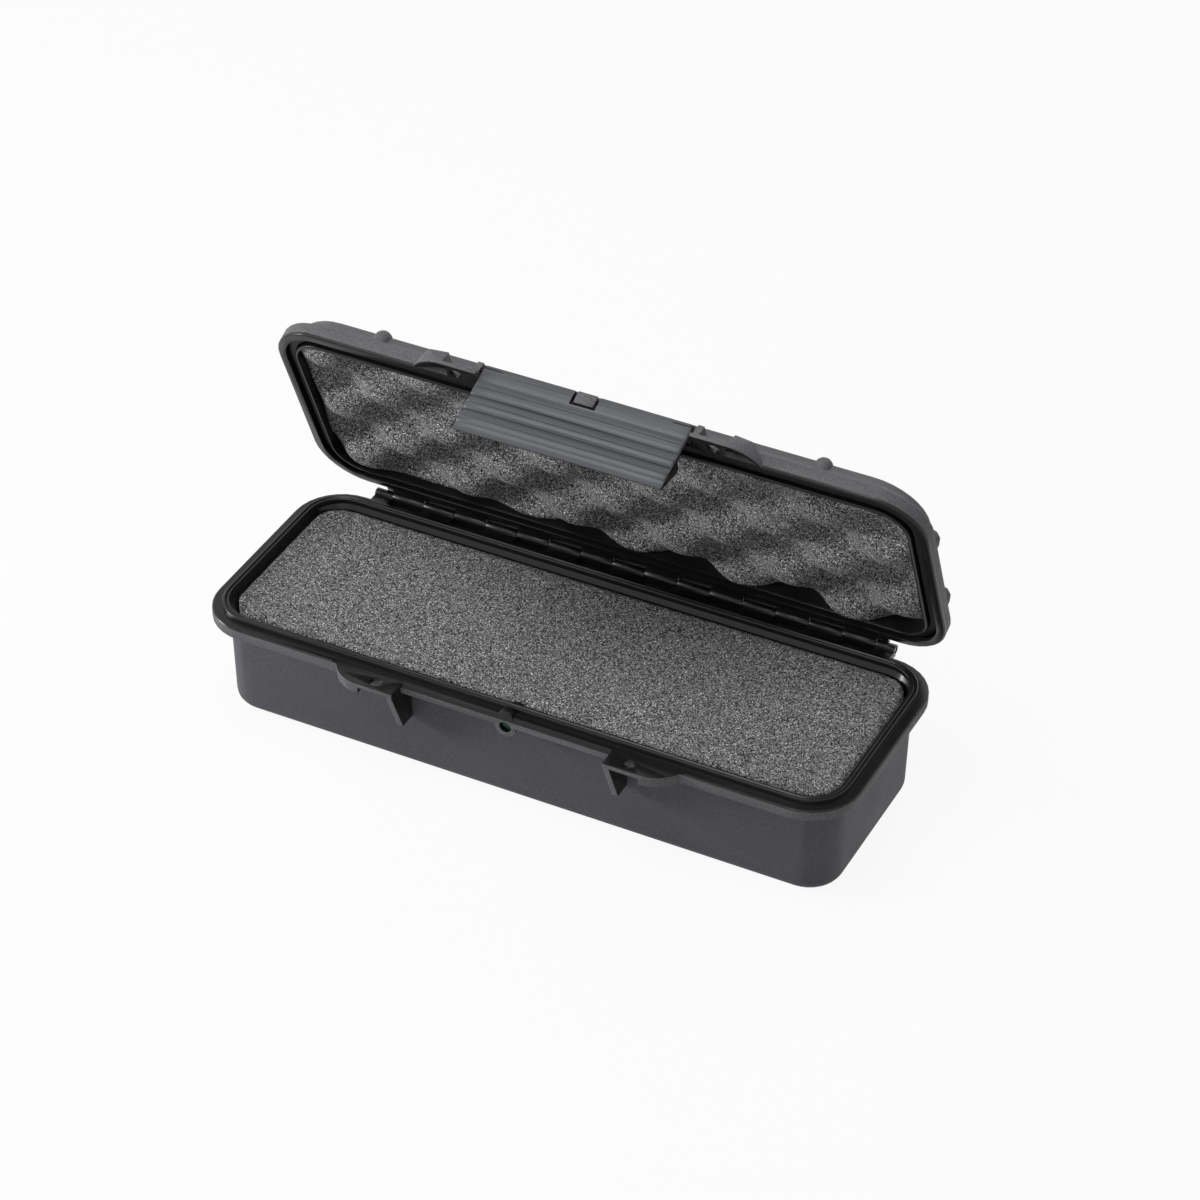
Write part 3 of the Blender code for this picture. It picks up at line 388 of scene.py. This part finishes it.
# %% [markdown]
# On the tub the fine grain covers the outer walls, and the lid's coarser grain the skirt below the
# rim and the fronts of the padlock lugs. The rim's top, the sealing ring and the whole hinge are
# polished, and so is everything that looks up or down. The sides of the gussets, smooth and in the
# rim's shadow, and the walls of the padlock holes get the same near-black finish, partly as
# painted shade.

# %% Tub
edge_radius = 0.35 * MM
tub_bottom = 3 * MM
ring_foot = rim_top - 0.9 * MM
skirt_foot = rim_top - 8 * MM
lug_inset = 0.5 * MM
gusset_back = -62 * MM
gusset_foot = 30 * MM


def tub_finish(place, normal):
    """0 for the fine grain, 1 for the polish, partly painted shade on gussets and holes, 2 for the
    coarse grain.
    """
    behind = place.y > hinge_side
    level = (abs(normal.z) > 0.6 or normal.z > 0.4) and place.z > tub_bottom
    high = place.z > ring_foot
    # The gusset sides and the padlock holes' walls take the near-black polish partly as painted
    # shade.
    gusset_side_satin_and_shade = abs(normal.x) > 0.9 and place.y < gusset_back and place.z > gusset_foot
    if behind or level or high or gusset_side_satin_and_shade or faces_inward(place, normal) or in_eye(place):
        return 1
    return 2 if place.z > skirt_foot or rim_inset(place) < lug_inset else 0


tub = rounded_copy("base_shell", "tub", "base", edge_radius, tub_finish)
for finish in (tub_grain_and_shade, satin_and_shade, lid_grain_and_painted_light):
    tub.data.materials.append(finish)

# %% [markdown]
# The lid's outside is grained: the band, the crown with its ribs, the hoods over the padlock ears
# and the tab in the middle of the latch. Its rim, seal channel, ear undersides and hinge are
# polished, and so is the lowest strip of the band, where the two halves of the mould met: the
# copy's faces are split along that line. Each face is turned back to the shut lid before it is
# judged.

# %% Lid
turn_shut = to_shut.to_3x3()
mould_line = rim_top + 2.2 * MM
strip_inset = -0.3 * MM
lip_inset, lip_top = 4 * MM, rim_top + 7 * MM
ears_top = rim_top + 14 * MM
cavity_inset, cavity_top = 12 * MM, rim_top + 15.5 * MM


def lid_finish(place, normal):
    """0 for the grain, 1 for the polish, partly painted shade in the padlock holes, judged with the
    lid shut.
    """
    place = to_shut @ place
    normal = turn_shut @ normal
    inset = rim_inset(place)
    behind = place.y > hinge_side
    looks_down = normal.z < -0.5 and place.z < ears_top
    strip = inset > strip_inset and place.z < mould_line
    lip = inset > lip_inset and place.z < lip_top
    wall = inset > cavity_inset and abs(normal.z) < 0.7 and place.z < cavity_top
    inside = lip or (wall and faces_inward(place, normal))
    # The padlock holes' walls take the near-black polish partly as painted shade.
    return int(behind or looks_down or strip or inside or in_eye(place))


line_plane = (to_open @ Vector((0, 0, mould_line)), to_open.to_3x3() @ Vector((0, 0, 1)))
lid = rounded_copy("lid_shell", "lid", "lid", edge_radius, lid_finish, line_plane)
for finish in (lid_grain_and_painted_light, satin_and_shade):
    lid.data.materials.append(finish)


# %% [markdown]
# Both foams are open-cell polyurethane, cut with a knife. A cut face shows the cells as pores in
# shade, and the thin walls between them catch the light where they happen to face it. Both are
# painted into the colour: every cell has a grey of its own between painted pore shade and painted
# light on a wall, more of them dark than pale, and a few carry a painted glint, a bright dot. Such
# foam has cells of about 0.5 mm. They are drawn at 0.65 mm, just wide enough to show as fine
# speckle.

# %% Open-cell polyurethane foam
def cell_foam(name, pore_shade, wall, painted_glint, cell):
    """Foam whose cells each have a grey between painted pore shade and painted light, and painted
    glints, bright dots, on a few of them.
    """
    finish, tree, shader = new_material(name, {"Roughness": 0.95, "Specular IOR Level": 0.1})
    place = add_node(tree, "ShaderNodeTexCoord").outputs["Object"]
    cells = add_node(tree, "ShaderNodeTexVoronoi", {"Scale": 1 / cell, "Randomness": 1.0},
                     {"Vector": place})
    chance = add_node(tree, "ShaderNodeSeparateColor", None, {0: cells.outputs["Color"]})
    mostly_dark = add_node(tree, "ShaderNodeMath", {"operation": "POWER", 1: 1.5},
                           {0: chance.outputs[0]})
    body = add_node(tree, "ShaderNodeMix", {"data_type": "RGBA", 6: linear(pore_shade), 7: linear(wall)},
                    {0: mostly_dark.outputs[0]})
    # A few cells carry a painted glint: a bright dot at their centre.
    rare = add_node(tree, "ShaderNodeMapRange", {"From Min": 0.86, "From Max": 0.93},
                    {"Value": chance.outputs[1]})
    centre = add_node(tree, "ShaderNodeMapRange", {"From Min": 0.6, "From Max": 0.3},
                      {"Value": cells.outputs["Distance"]})
    painted_glint_dots = add_node(tree, "ShaderNodeMath", {"operation": "MULTIPLY"},
                    {0: rare.outputs["Result"], 1: centre.outputs["Result"]})
    painted_glints = add_node(tree, "ShaderNodeMix", {"data_type": "RGBA", 7: linear(painted_glint)},
                      {0: painted_glint_dots.outputs[0], 6: body.outputs[2]})
    tree.links.new(painted_glints.outputs[2], shader.inputs["Base Color"])
    bump = add_node(tree, "ShaderNodeBump", {"Strength": 0.5, "Distance": 0.25 * MM},
                    {"Height": cells.outputs["Distance"]})
    tree.links.new(bump.outputs["Normal"], shader.inputs["Normal"])
    return finish


cell_width = 0.65 * MM
# 222222 is painted shade in the pores, #9E9E9E painted light on the cell walls, #FFFFFF the painted
# glints.
charcoal_foam = cell_foam("charcoal_polyurethane_foam", "#222222", "#9E9E9E", "#FFFFFF", cell_width)
print("the foam is drawn with", round(10 * MM / cell_width), "cells to the centimetre")


# %% [markdown]
# A foam piece is a slab with rounded corners in plan. Its worked face is a fine grid, squeezed
# into the rounded outline row by row, so that its squares stay neat up to the edge. A function
# says how high each point of that face lies. The knife leaves the edges slightly uneven, and the
# cells make the face a little rough, which a small noise imitates.

# %% A slab of foam
roughness_pitch = 2.2 * MM
roughness_height = 0.15 * MM


def foam_slab(name, size, corner, centre_y, back_z, face_z, spacing):
    """A closed slab between a flat back and a worked face, with rounded corners in plan."""
    length, depth = size
    columns = round(length / spacing)
    rows = round(depth / spacing)
    bm = bmesh.new()
    faces = []
    for row in range(rows + 1):
        y = (row / rows - 0.5) * depth
        past = max(0.0, abs(y) - (depth / 2 - corner))
        half = length / 2 - corner + math.sqrt(max(corner ** 2 - past ** 2, 0.0))
        line = []
        for column in range(columns + 1):
            x = (2 * column / columns - 1) * half
            rough = noise.noise(Vector((x, y, back_z)) / roughness_pitch) * roughness_height
            line.append(bm.verts.new((x, centre_y + y, face_z(x, centre_y + y) + rough)))
        faces.append(line)
    for lower, upper in zip(faces, faces[1:]):
        for i in range(columns):
            bm.faces.new((lower[i], lower[i + 1], upper[i + 1], upper[i]))
    rim = [edge for edge in bm.edges if edge.is_boundary]
    steps = 3
    for step in range(1, steps + 1):
        grown = bmesh.ops.extrude_edge_only(bm, edges=rim)["geom"]
        rim = [item for item in grown if isinstance(item, bmesh.types.BMEdge) and item.is_boundary]
        for vert in [item for item in grown if isinstance(item, bmesh.types.BMVert)]:
            vert.co.z += (back_z - vert.co.z) / (steps - step + 1)
    bmesh.ops.contextual_create(bm, geom=[edge for edge in bm.edges if edge.is_boundary])
    bmesh.ops.recalc_face_normals(bm, faces=bm.faces)
    for face in bm.faces:
        face.smooth = True
    mesh = bpy.data.meshes.new(name)
    bm.to_mesh(mesh)
    bm.free()
    mesh.materials.append(charcoal_foam)
    print(name, "has", len(mesh.polygons), "faces")
    return mesh


# %% [markdown]
# The tub holds a thick block over a thin pad. The block's top lies just below the sealing ring,
# and its cut edges are a little rounded, where the foam has been pushed in past the rim.

# %% Foam in the tub
roll_width = 3 * MM
roll_depth = 0.8 * MM
flat_spacing = 2.5 * MM


def softened(top, half_length, half_depth, centre_y):
    """Height of a flat face whose outer few millimetres roll off."""
    def height(x, y):
        inward = min(half_length - abs(x), half_depth - abs(y - centre_y))
        roll = max(0.0, 1 - max(inward, 0.0) / roll_width)
        return top - roll_depth * roll ** 2
    return height


for node, name, corner in (("base_foam_block", "tub_foam_block", 18.5 * MM),
                           ("base_foam_pad", "tub_foam_pad", 14.5 * MM)):
    low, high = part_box(node)
    middle = (low.y + high.y) / 2
    top = softened(high.z, high.x, (high.y - low.y) / 2, middle)
    slab = foam_slab(name, (high.x - low.x, high.y - low.y), corner, middle, low.z, top,
                     flat_spacing)
    show(name, slab, "base", node)


# %% [markdown]
# The lid's foam is egg-crate foam: a sheet is squeezed between studded rollers while a knife
# splits it, and it springs back to rows of rounded peaks and dips. The peaks stand like the black
# squares of a chessboard, so the height is the product of two cosines. The real peaks and dips
# are broader than a cosine's, and a smooth step mixed with the product widens both. This sheet
# was cut a little askew to its waves, which shows along the hinge: the scallops there grow to the
# right.

# %% Egg-crate foam in the lid
wave_length = (69.0 * MM, 50.5 * MM)
wave_start = (1.5 * MM, 67.0 * MM)
askew = Matrix.Rotation(math.radians(2.3), 2)
wave_depth = 13.0 * MM
broadness = 0.6
peak_z = rim_top - 0.9 * MM
sheet_back = rim_top + 15.8 * MM
wave_spacing = 1.6 * MM


def crate_height(x, y):
    """Height of the worked face with the lid shut: low on the peaks, high in the dips."""
    turned = askew @ Vector((x, y))
    along = math.cos(2 * math.pi * (turned.x - wave_start[0]) / wave_length[0])
    across = math.cos(2 * math.pi * (turned.y - wave_start[1]) / wave_length[1])
    share = (1 + along * across) / 2
    broad = share * share * (3 - 2 * share)
    return peak_z + wave_depth * (1 - ((1 - broadness) * share + broadness * broad))


foam_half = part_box("lid_foam")[1].x
foam_inset = rim_half - foam_half
crate = foam_slab("lid_foam_sheet", (2 * foam_half, rim_back - rim_front - 2 * foam_inset),
                  rim_corner - foam_inset, (rim_front + rim_back) / 2, sheet_back, crate_height,
                  wave_spacing)
crate.transform(to_open)
show("lid_foam_sheet", crate, "lid", "lid_foam")

# %% [markdown]
# The latch is moulded in glass-filled nylon, a little bluer and smoother than the case. The fibres
# line up as the plastic flows along the plate, which leaves faint streaks from end to end. The
# noise is therefore stretched along the case's length, with 12 patches to the metre there and 700
# across it, so that a streak is about 80 mm long and 1.4 mm wide.

# %% Glass-filled nylon
def streaked_nylon(name, dark, pale):
    """Grey nylon with fine streaks along X."""
    finish, tree, shader = new_material(name, {"IOR": 1.53, "Specular IOR Level": 0.4})
    place = add_node(tree, "ShaderNodeTexCoord").outputs["Object"]
    stretched = add_node(tree, "ShaderNodeMapping", {"Scale": (12.0, 700.0, 700.0)},
                         {"Vector": place})
    streaks = add_node(tree, "ShaderNodeTexNoise", {"Scale": 1.0, "Detail": 3.0},
                       {"Vector": stretched.outputs[0]})
    spread = add_node(tree, "ShaderNodeMapRange", {"From Min": 0.3, "From Max": 0.7},
                      {"Value": streaks.outputs["Fac"]})
    shade = add_node(tree, "ShaderNodeMix", {"data_type": "RGBA", 6: linear(dark), 7: linear(pale)},
                     {0: spread.outputs["Result"]})
    tree.links.new(shade.outputs[2], shader.inputs["Base Color"])
    gloss = add_node(tree, "ShaderNodeMapRange", {"To Min": 0.34, "To Max": 0.5},
                     {"Value": streaks.outputs["Fac"]})
    tree.links.new(gloss.outputs["Result"], shader.inputs["Roughness"])
    bump = add_node(tree, "ShaderNodeBump", {"Strength": 0.25, "Distance": 0.05 * MM},
                    {"Height": streaks.outputs["Fac"]})
    tree.links.new(bump.outputs["Normal"], shader.inputs["Normal"])
    return finish


nylon = streaked_nylon("streaked_nylon", "#303235", "#4B4D51")
print(nylon.name, "has", len(nylon.node_tree.nodes), "nodes")

# %% [markdown]
# The latch's face is its most detailed part. Five bands lie over each other like roof slates:
# each leans outward towards the foot and ends in a step. Fine lines divide them once more, the
# ends are rounded, and a notch in the top edge leaves room for the lid's tab. The profile is
# pushed along the case, with a few more stations near each end for the rounding.

# %% Profile of the latch
pin_low, pin_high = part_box("latch_pin")
pivot = to_shut @ ((pin_low + pin_high) / 2)
plate_top = pivot.z + 2.4 * MM
plate_length = 44.5 * MM
plate_face = pivot.y - 3.7 * MM
plate_inside = plate_face + 2.6 * MM
plate_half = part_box("latch_plate")[1].x

# Each band: where it starts and ends as a share of the plate, how deep in it starts and ends
# in millimetres, how much it bulges, and how far its end rolls in.
bands = (
    (0.0, 0.235, 0.9, 0.5, 0.3, 0.2),
    (0.235, 0.45, 0.75, 0.3, 0.3, 0.7),
    (0.45, 0.665, 1.45, 0.25, 0.7, 0.8),
    (0.665, 0.88, 1.45, 0.2, 0.7, 0.8),
    (0.88, 1.0, 0.7, 0.0, -0.5, 0.2),
)
band_steps = 10
roll_from = 0.75
line_shares = (0.275, 0.33, 0.57, 0.785)
line_share_half = 0.006
line_depth = 0.3 * MM


def face_profile():
    """Points (y, z) down the latch's outer face."""
    points = []
    for start, end, depth_in, depth_out, bulge, roll in bands:
        inner_lines = [share for share in line_shares if start < share < end]
        shares = [start + (end - start) * step / band_steps for step in range(band_steps + 1)]
        for line in inner_lines:
            shares += [line - line_share_half, line, line + line_share_half]
        for share in sorted(shares):
            part = (share - start) / (end - start)
            deep = depth_in + (depth_out - depth_in) * part - bulge * math.sin(math.pi * part)
            deep += roll * max(0.0, (part - roll_from) / (1 - roll_from)) ** 2
            y = plate_face + deep * MM
            if share in inner_lines:
                y += line_depth
            points.append((y, plate_top - plate_length * share))
    return points


outer = face_profile()
print("the latch's face has", len(outer), "points")


# %% Latch plate
def close_loft(bm, loops):
    """Joins loops of points with quads and caps both ends."""
    rows = [[bm.verts.new(point) for point in loop] for loop in loops]
    count = len(rows[0])
    for lower, upper in zip(rows, rows[1:]):
        for i in range(count):
            j = (i + 1) % count
            bm.faces.new((lower[i], lower[j], upper[j], upper[i]))
    bm.faces.new(rows[0])
    bm.faces.new(rows[-1])


lip_rise = 2.4 * MM
lip_thick = 1.2 * MM
fillet = 1.8 * MM
end_stations = (0.0, 0.15 * MM, 0.6 * MM, fillet)
middle_spans = 12
plate_belly = 0.3 * MM


def latch_plate_mesh():
    """The ribbed plate with rounded ends and a turned lip."""
    foot = plate_top - plate_length
    inner = [(plate_face + lip_thick, foot), (plate_inside, foot + lip_rise),
             (plate_inside, plate_top)]
    stations = [-plate_half + inward for inward in end_stations]
    stations += [(2 * step / middle_spans - 1) * (plate_half - fillet)
                 for step in range(1, middle_spans)]
    stations += [-x for x in reversed(stations[:len(end_stations)])]
    loops = []
    for x in stations:
        past = max(0.0, abs(x) - (plate_half - fillet))
        drawn_in = fillet - math.sqrt(fillet ** 2 - past ** 2)
        belly = -plate_belly * (1 - (x / plate_half) ** 2)
        face = [(x, y + drawn_in + belly, z) for y, z in outer]
        loops.append(face + [(x, y, z) for y, z in inner])
    bm = bmesh.new()
    close_loft(bm, loops)
    bmesh.ops.recalc_face_normals(bm, faces=bm.faces)
    return bm


def bar(bm, outline, low, high):
    """A profile of (y, z) points pushed along X from low to high, added to a mesh."""
    added = bmesh.new()
    close_loft(added, [[(x, y, z) for y, z in outline] for x in (low, high)])
    bmesh.ops.recalc_face_normals(added, faces=added.faces)
    scrap = bpy.data.meshes.new("scrap")
    added.to_mesh(scrap)
    added.free()
    bm.from_mesh(scrap)
    bpy.data.meshes.remove(scrap)


def without(bm, cutter_bm):
    """The mesh of one shape with another cut out of it."""
    holders = []
    for name, shape in (("whole", bm), ("cutter", cutter_bm)):
        mesh = bpy.data.meshes.new(name)
        shape.to_mesh(mesh)
        shape.free()
        holders.append(bpy.data.objects.new(name, mesh))
        bpy.context.scene.collection.objects.link(holders[-1])
    body, tool = holders
    body.modifiers.new("cut", "BOOLEAN").object = tool
    view = bpy.context.evaluated_depsgraph_get()
    cut = bpy.data.meshes.new_from_object(body.evaluated_get(view))
    for holder in holders:
        bpy.data.objects.remove(holder)
    return cut


notch_half = 7.9 * MM
notch_foot = plate_top - 9.3 * MM
overshoot = 5 * MM
notch_front, notch_back = plate_face - overshoot, plate_inside + overshoot
notch_top = plate_top + overshoot
notch = bmesh.new()
bar(notch, [(notch_front, notch_foot), (notch_back, notch_foot), (notch_back, notch_top),
            (notch_front, notch_top)], -notch_half, notch_half)
plate = without(latch_plate_mesh(), notch)
print("the latch plate has", len(plate.polygons), "faces")

# %% [markdown]
# Behind the plate sit the barrel that turns on the steel rod, the hook that grips below the rim
# in two stretches, and the stays that stiffen them. They stand a little inside the plate, and
# the barrel is a tube round the rod. They are nylon like the plate, but face away from the lamps,
# so they get the near-black satin as painted shade and look almost black beside the plate.

# %% Barrel, hooks and stays of the latch
sides = 24
barrel_radius = 3.2 * MM
barrel_chamfer = 0.3 * MM
bore_radius = 1.55 * MM
barrel_inset = 0.4 * MM
latched_angle = math.radians(17.0)


def ring(radius):
    """Points (y, z) round the latch's axis."""
    turns = [2 * math.pi * step / sides for step in range(sides)]
    return [(pivot.y + radius * math.cos(turn), pivot.z + radius * math.sin(turn))
            for turn in turns]


def add_tube(bm, low, high):
    """A tube round the axis from low to high."""
    loops = []
    for x, radius in ((low, bore_radius), (low, barrel_radius - barrel_chamfer),
                      (low + barrel_chamfer, barrel_radius), (high - barrel_chamfer, barrel_radius),
                      (high, barrel_radius - barrel_chamfer), (high, bore_radius)):
        loops.append([bm.verts.new((x, y, z)) for y, z in ring(radius)])
    loops.append(loops[0])
    for lower, upper in zip(loops, loops[1:]):
        for i in range(sides):
            j = (i + 1) % sides
            bm.faces.new((lower[i], lower[j], upper[j], upper[i]))


def swung(y, z):
    """A point given with the latch hooked on, swung out to where it hangs."""
    cosine, sine = math.cos(latched_angle), math.sin(latched_angle)
    across, down = y - pivot.y, z - pivot.z
    return (pivot.y + across * cosine + down * sine, pivot.z - across * sine + down * cosine)


hook_z = rim_top - 7.7 * MM
hook_grip = 3.8 * MM
hook_gap = 2.6 * MM
hook_height = 6.8 * MM
nose_back, nose_drop = 1.2 * MM, 3.4 * MM
in_plate = plate_face + 1.5 * MM
tip = swung(rim_front + hook_grip, hook_z)
root = swung(rim_front - hook_gap, hook_z)
hook = [(in_plate, root[1]), root, tip, (tip[0] - nose_back, tip[1] - nose_drop),
        (in_plate, root[1] - hook_height)]

stay_top = plate_top - 23.6 * MM
stay_foot = plate_top - plate_length + 1.3 * MM
stay_width, stay_reach, stay_slope = 6.0 * MM, 8.4 * MM, 2.4 * MM
stay = [(in_plate, stay_top), (plate_inside + stay_width, stay_top),
        (plate_inside + stay_reach, stay_top - stay_slope), (plate_inside, stay_foot),
        (in_plate, stay_foot)]

hook_reach = (8.5 * MM, 61.0 * MM)
stay_ends = (64.2 * MM, 40.2 * MM, 16.2 * MM)
stay_thick = 2.4 * MM
latch_radius = 0.2 * MM

works = bmesh.new()
for side in (-1, 1):
    add_tube(works, *sorted((side * notch_half, side * (plate_half - barrel_inset))))
    bar(works, hook, *sorted((side * hook_reach[0], side * hook_reach[1])))
    for stay_end in stay_ends:
        bar(works, stay, *sorted((side * stay_end, side * (stay_end - stay_thick))))
# The works take the near-black satin as painted shade.
for face in works.faces:
    face.material_index = 1
works.from_mesh(plate)
bmesh.ops.recalc_face_normals(works, faces=works.faces)
latch_mesh = bpy.data.meshes.new("latch")
works.to_mesh(latch_mesh)
works.free()
latch_mesh.transform(to_open)
latch_mesh.shade_smooth()
latch_mesh.set_sharp_from_angle(angle=math.radians(32))
latch_mesh.materials.append(nylon)
latch_mesh.materials.append(satin_and_shade)
latch = show("latch", latch_mesh, "latch", "latch_plate")
bevel = latch.modifiers.new("moulded_radius", "BEVEL")
bevel.width = latch_radius
bevel.segments = 2
bevel.limit_method = "ANGLE"
bevel.angle_limit = math.radians(50)
print("the latch has", len(latch_mesh.polygons), "faces")


# %% [markdown]
# Six small pieces are right as the solids give them, and only need their surfaces. The hinge and
# latch rods are drawn steel wire, with scratches along their length that are drawn 25 mm long
# and 0.17 mm wide. The latch's rod is drawn near black as painted shade, so it doesn't shine in
# the gaps beside the plate. The seal is a soft rubber extrusion. The valve is black plastic behind
# a green membrane that lets air through and keeps water out.

# %% Steel, rubber and the valve
def dress(node, finish):
    """Gives a solid node that stays as it is its finish."""
    shell = frame["nodes"][node]
    shell.data.materials.clear()
    shell.data.materials.append(finish)


def drawn_wire(name, colour, metallic):
    """Steel wire with fine scratches along X."""
    finish, tree, shader = new_material(name, {"Base Color": linear(colour), "Metallic": metallic})
    place = add_node(tree, "ShaderNodeTexCoord").outputs["Object"]
    drawn = add_node(tree, "ShaderNodeMapping", {"Scale": (40.0, 6000.0, 6000.0)},
                     {"Vector": place})
    scratches = add_node(tree, "ShaderNodeTexNoise", {"Scale": 1.0, "Detail": 2.0},
                         {"Vector": drawn.outputs[0]})
    polish = add_node(tree, "ShaderNodeMapRange", {"To Min": 0.2, "To Max": 0.45},
                      {"Value": scratches.outputs["Fac"]})
    tree.links.new(polish.outputs["Result"], shader.inputs["Roughness"])
    return finish


steel = drawn_wire("drawn_steel_wire", "#C4C5C7", 1.0)
# Near black: painted shade for the latch's rod in the gaps beside the plate.
dark_steel_as_shade = drawn_wire("dark_steel_wire_as_shade", "#1B1B1D", 0.6)

rubber, rubber_tree, rubber_shader = new_material(
    "extruded_rubber", {"Base Color": linear("#0F0F10"), "IOR": 1.52, "Specular IOR Level": 0.4})
rubber_place = add_node(rubber_tree, "ShaderNodeTexCoord").outputs["Object"]
bloom = add_node(rubber_tree, "ShaderNodeTexNoise", {"Scale": 1 / (6 * MM), "Detail": 4.0},
                 {"Vector": rubber_place})
dull = add_node(rubber_tree, "ShaderNodeMapRange", {"To Min": 0.5, "To Max": 0.7},
                {"Value": bloom.outputs["Fac"]})
rubber_tree.links.new(dull.outputs["Result"], rubber_shader.inputs["Roughness"])

# Both greens of the membrane are darkened as painted shade from the bore that it sits in.
film, film_tree, film_shader = new_material(
    "porous_membrane", {"Roughness": 0.7, "Specular IOR Level": 0.3})
film_place = add_node(film_tree, "ShaderNodeTexCoord").outputs["Object"]
fibres = add_node(film_tree, "ShaderNodeTexNoise", {"Scale": 1 / (0.7 * MM), "Detail": 4.0},
                  {"Vector": film_place})
felt_in_shade = add_node(film_tree, "ShaderNodeMix",
                {"data_type": "RGBA", 6: linear("#2E5A4C"), 7: linear("#6FA592")},
                {0: fibres.outputs["Fac"]})
film_tree.links.new(felt_in_shade.outputs[2], film_shader.inputs["Base Color"])

for node, finish in (("hinge_pin", steel), ("latch_pin", dark_steel_as_shade), ("lid_seal", rubber),
                     ("valve_washer", rubber), ("valve_membrane", film), ("valve_body", satin_and_shade)):
    dress(node, finish)
print("six solids keep their shape")

# %% [markdown]
# Last come the view settings and a note of the dressed case's size.

# %% Finish
bpy.context.scene.view_settings.view_transform = "Standard"
low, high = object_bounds()
print("the dressed case is", [round(side / MM, 1) for side in high - low], "mm")
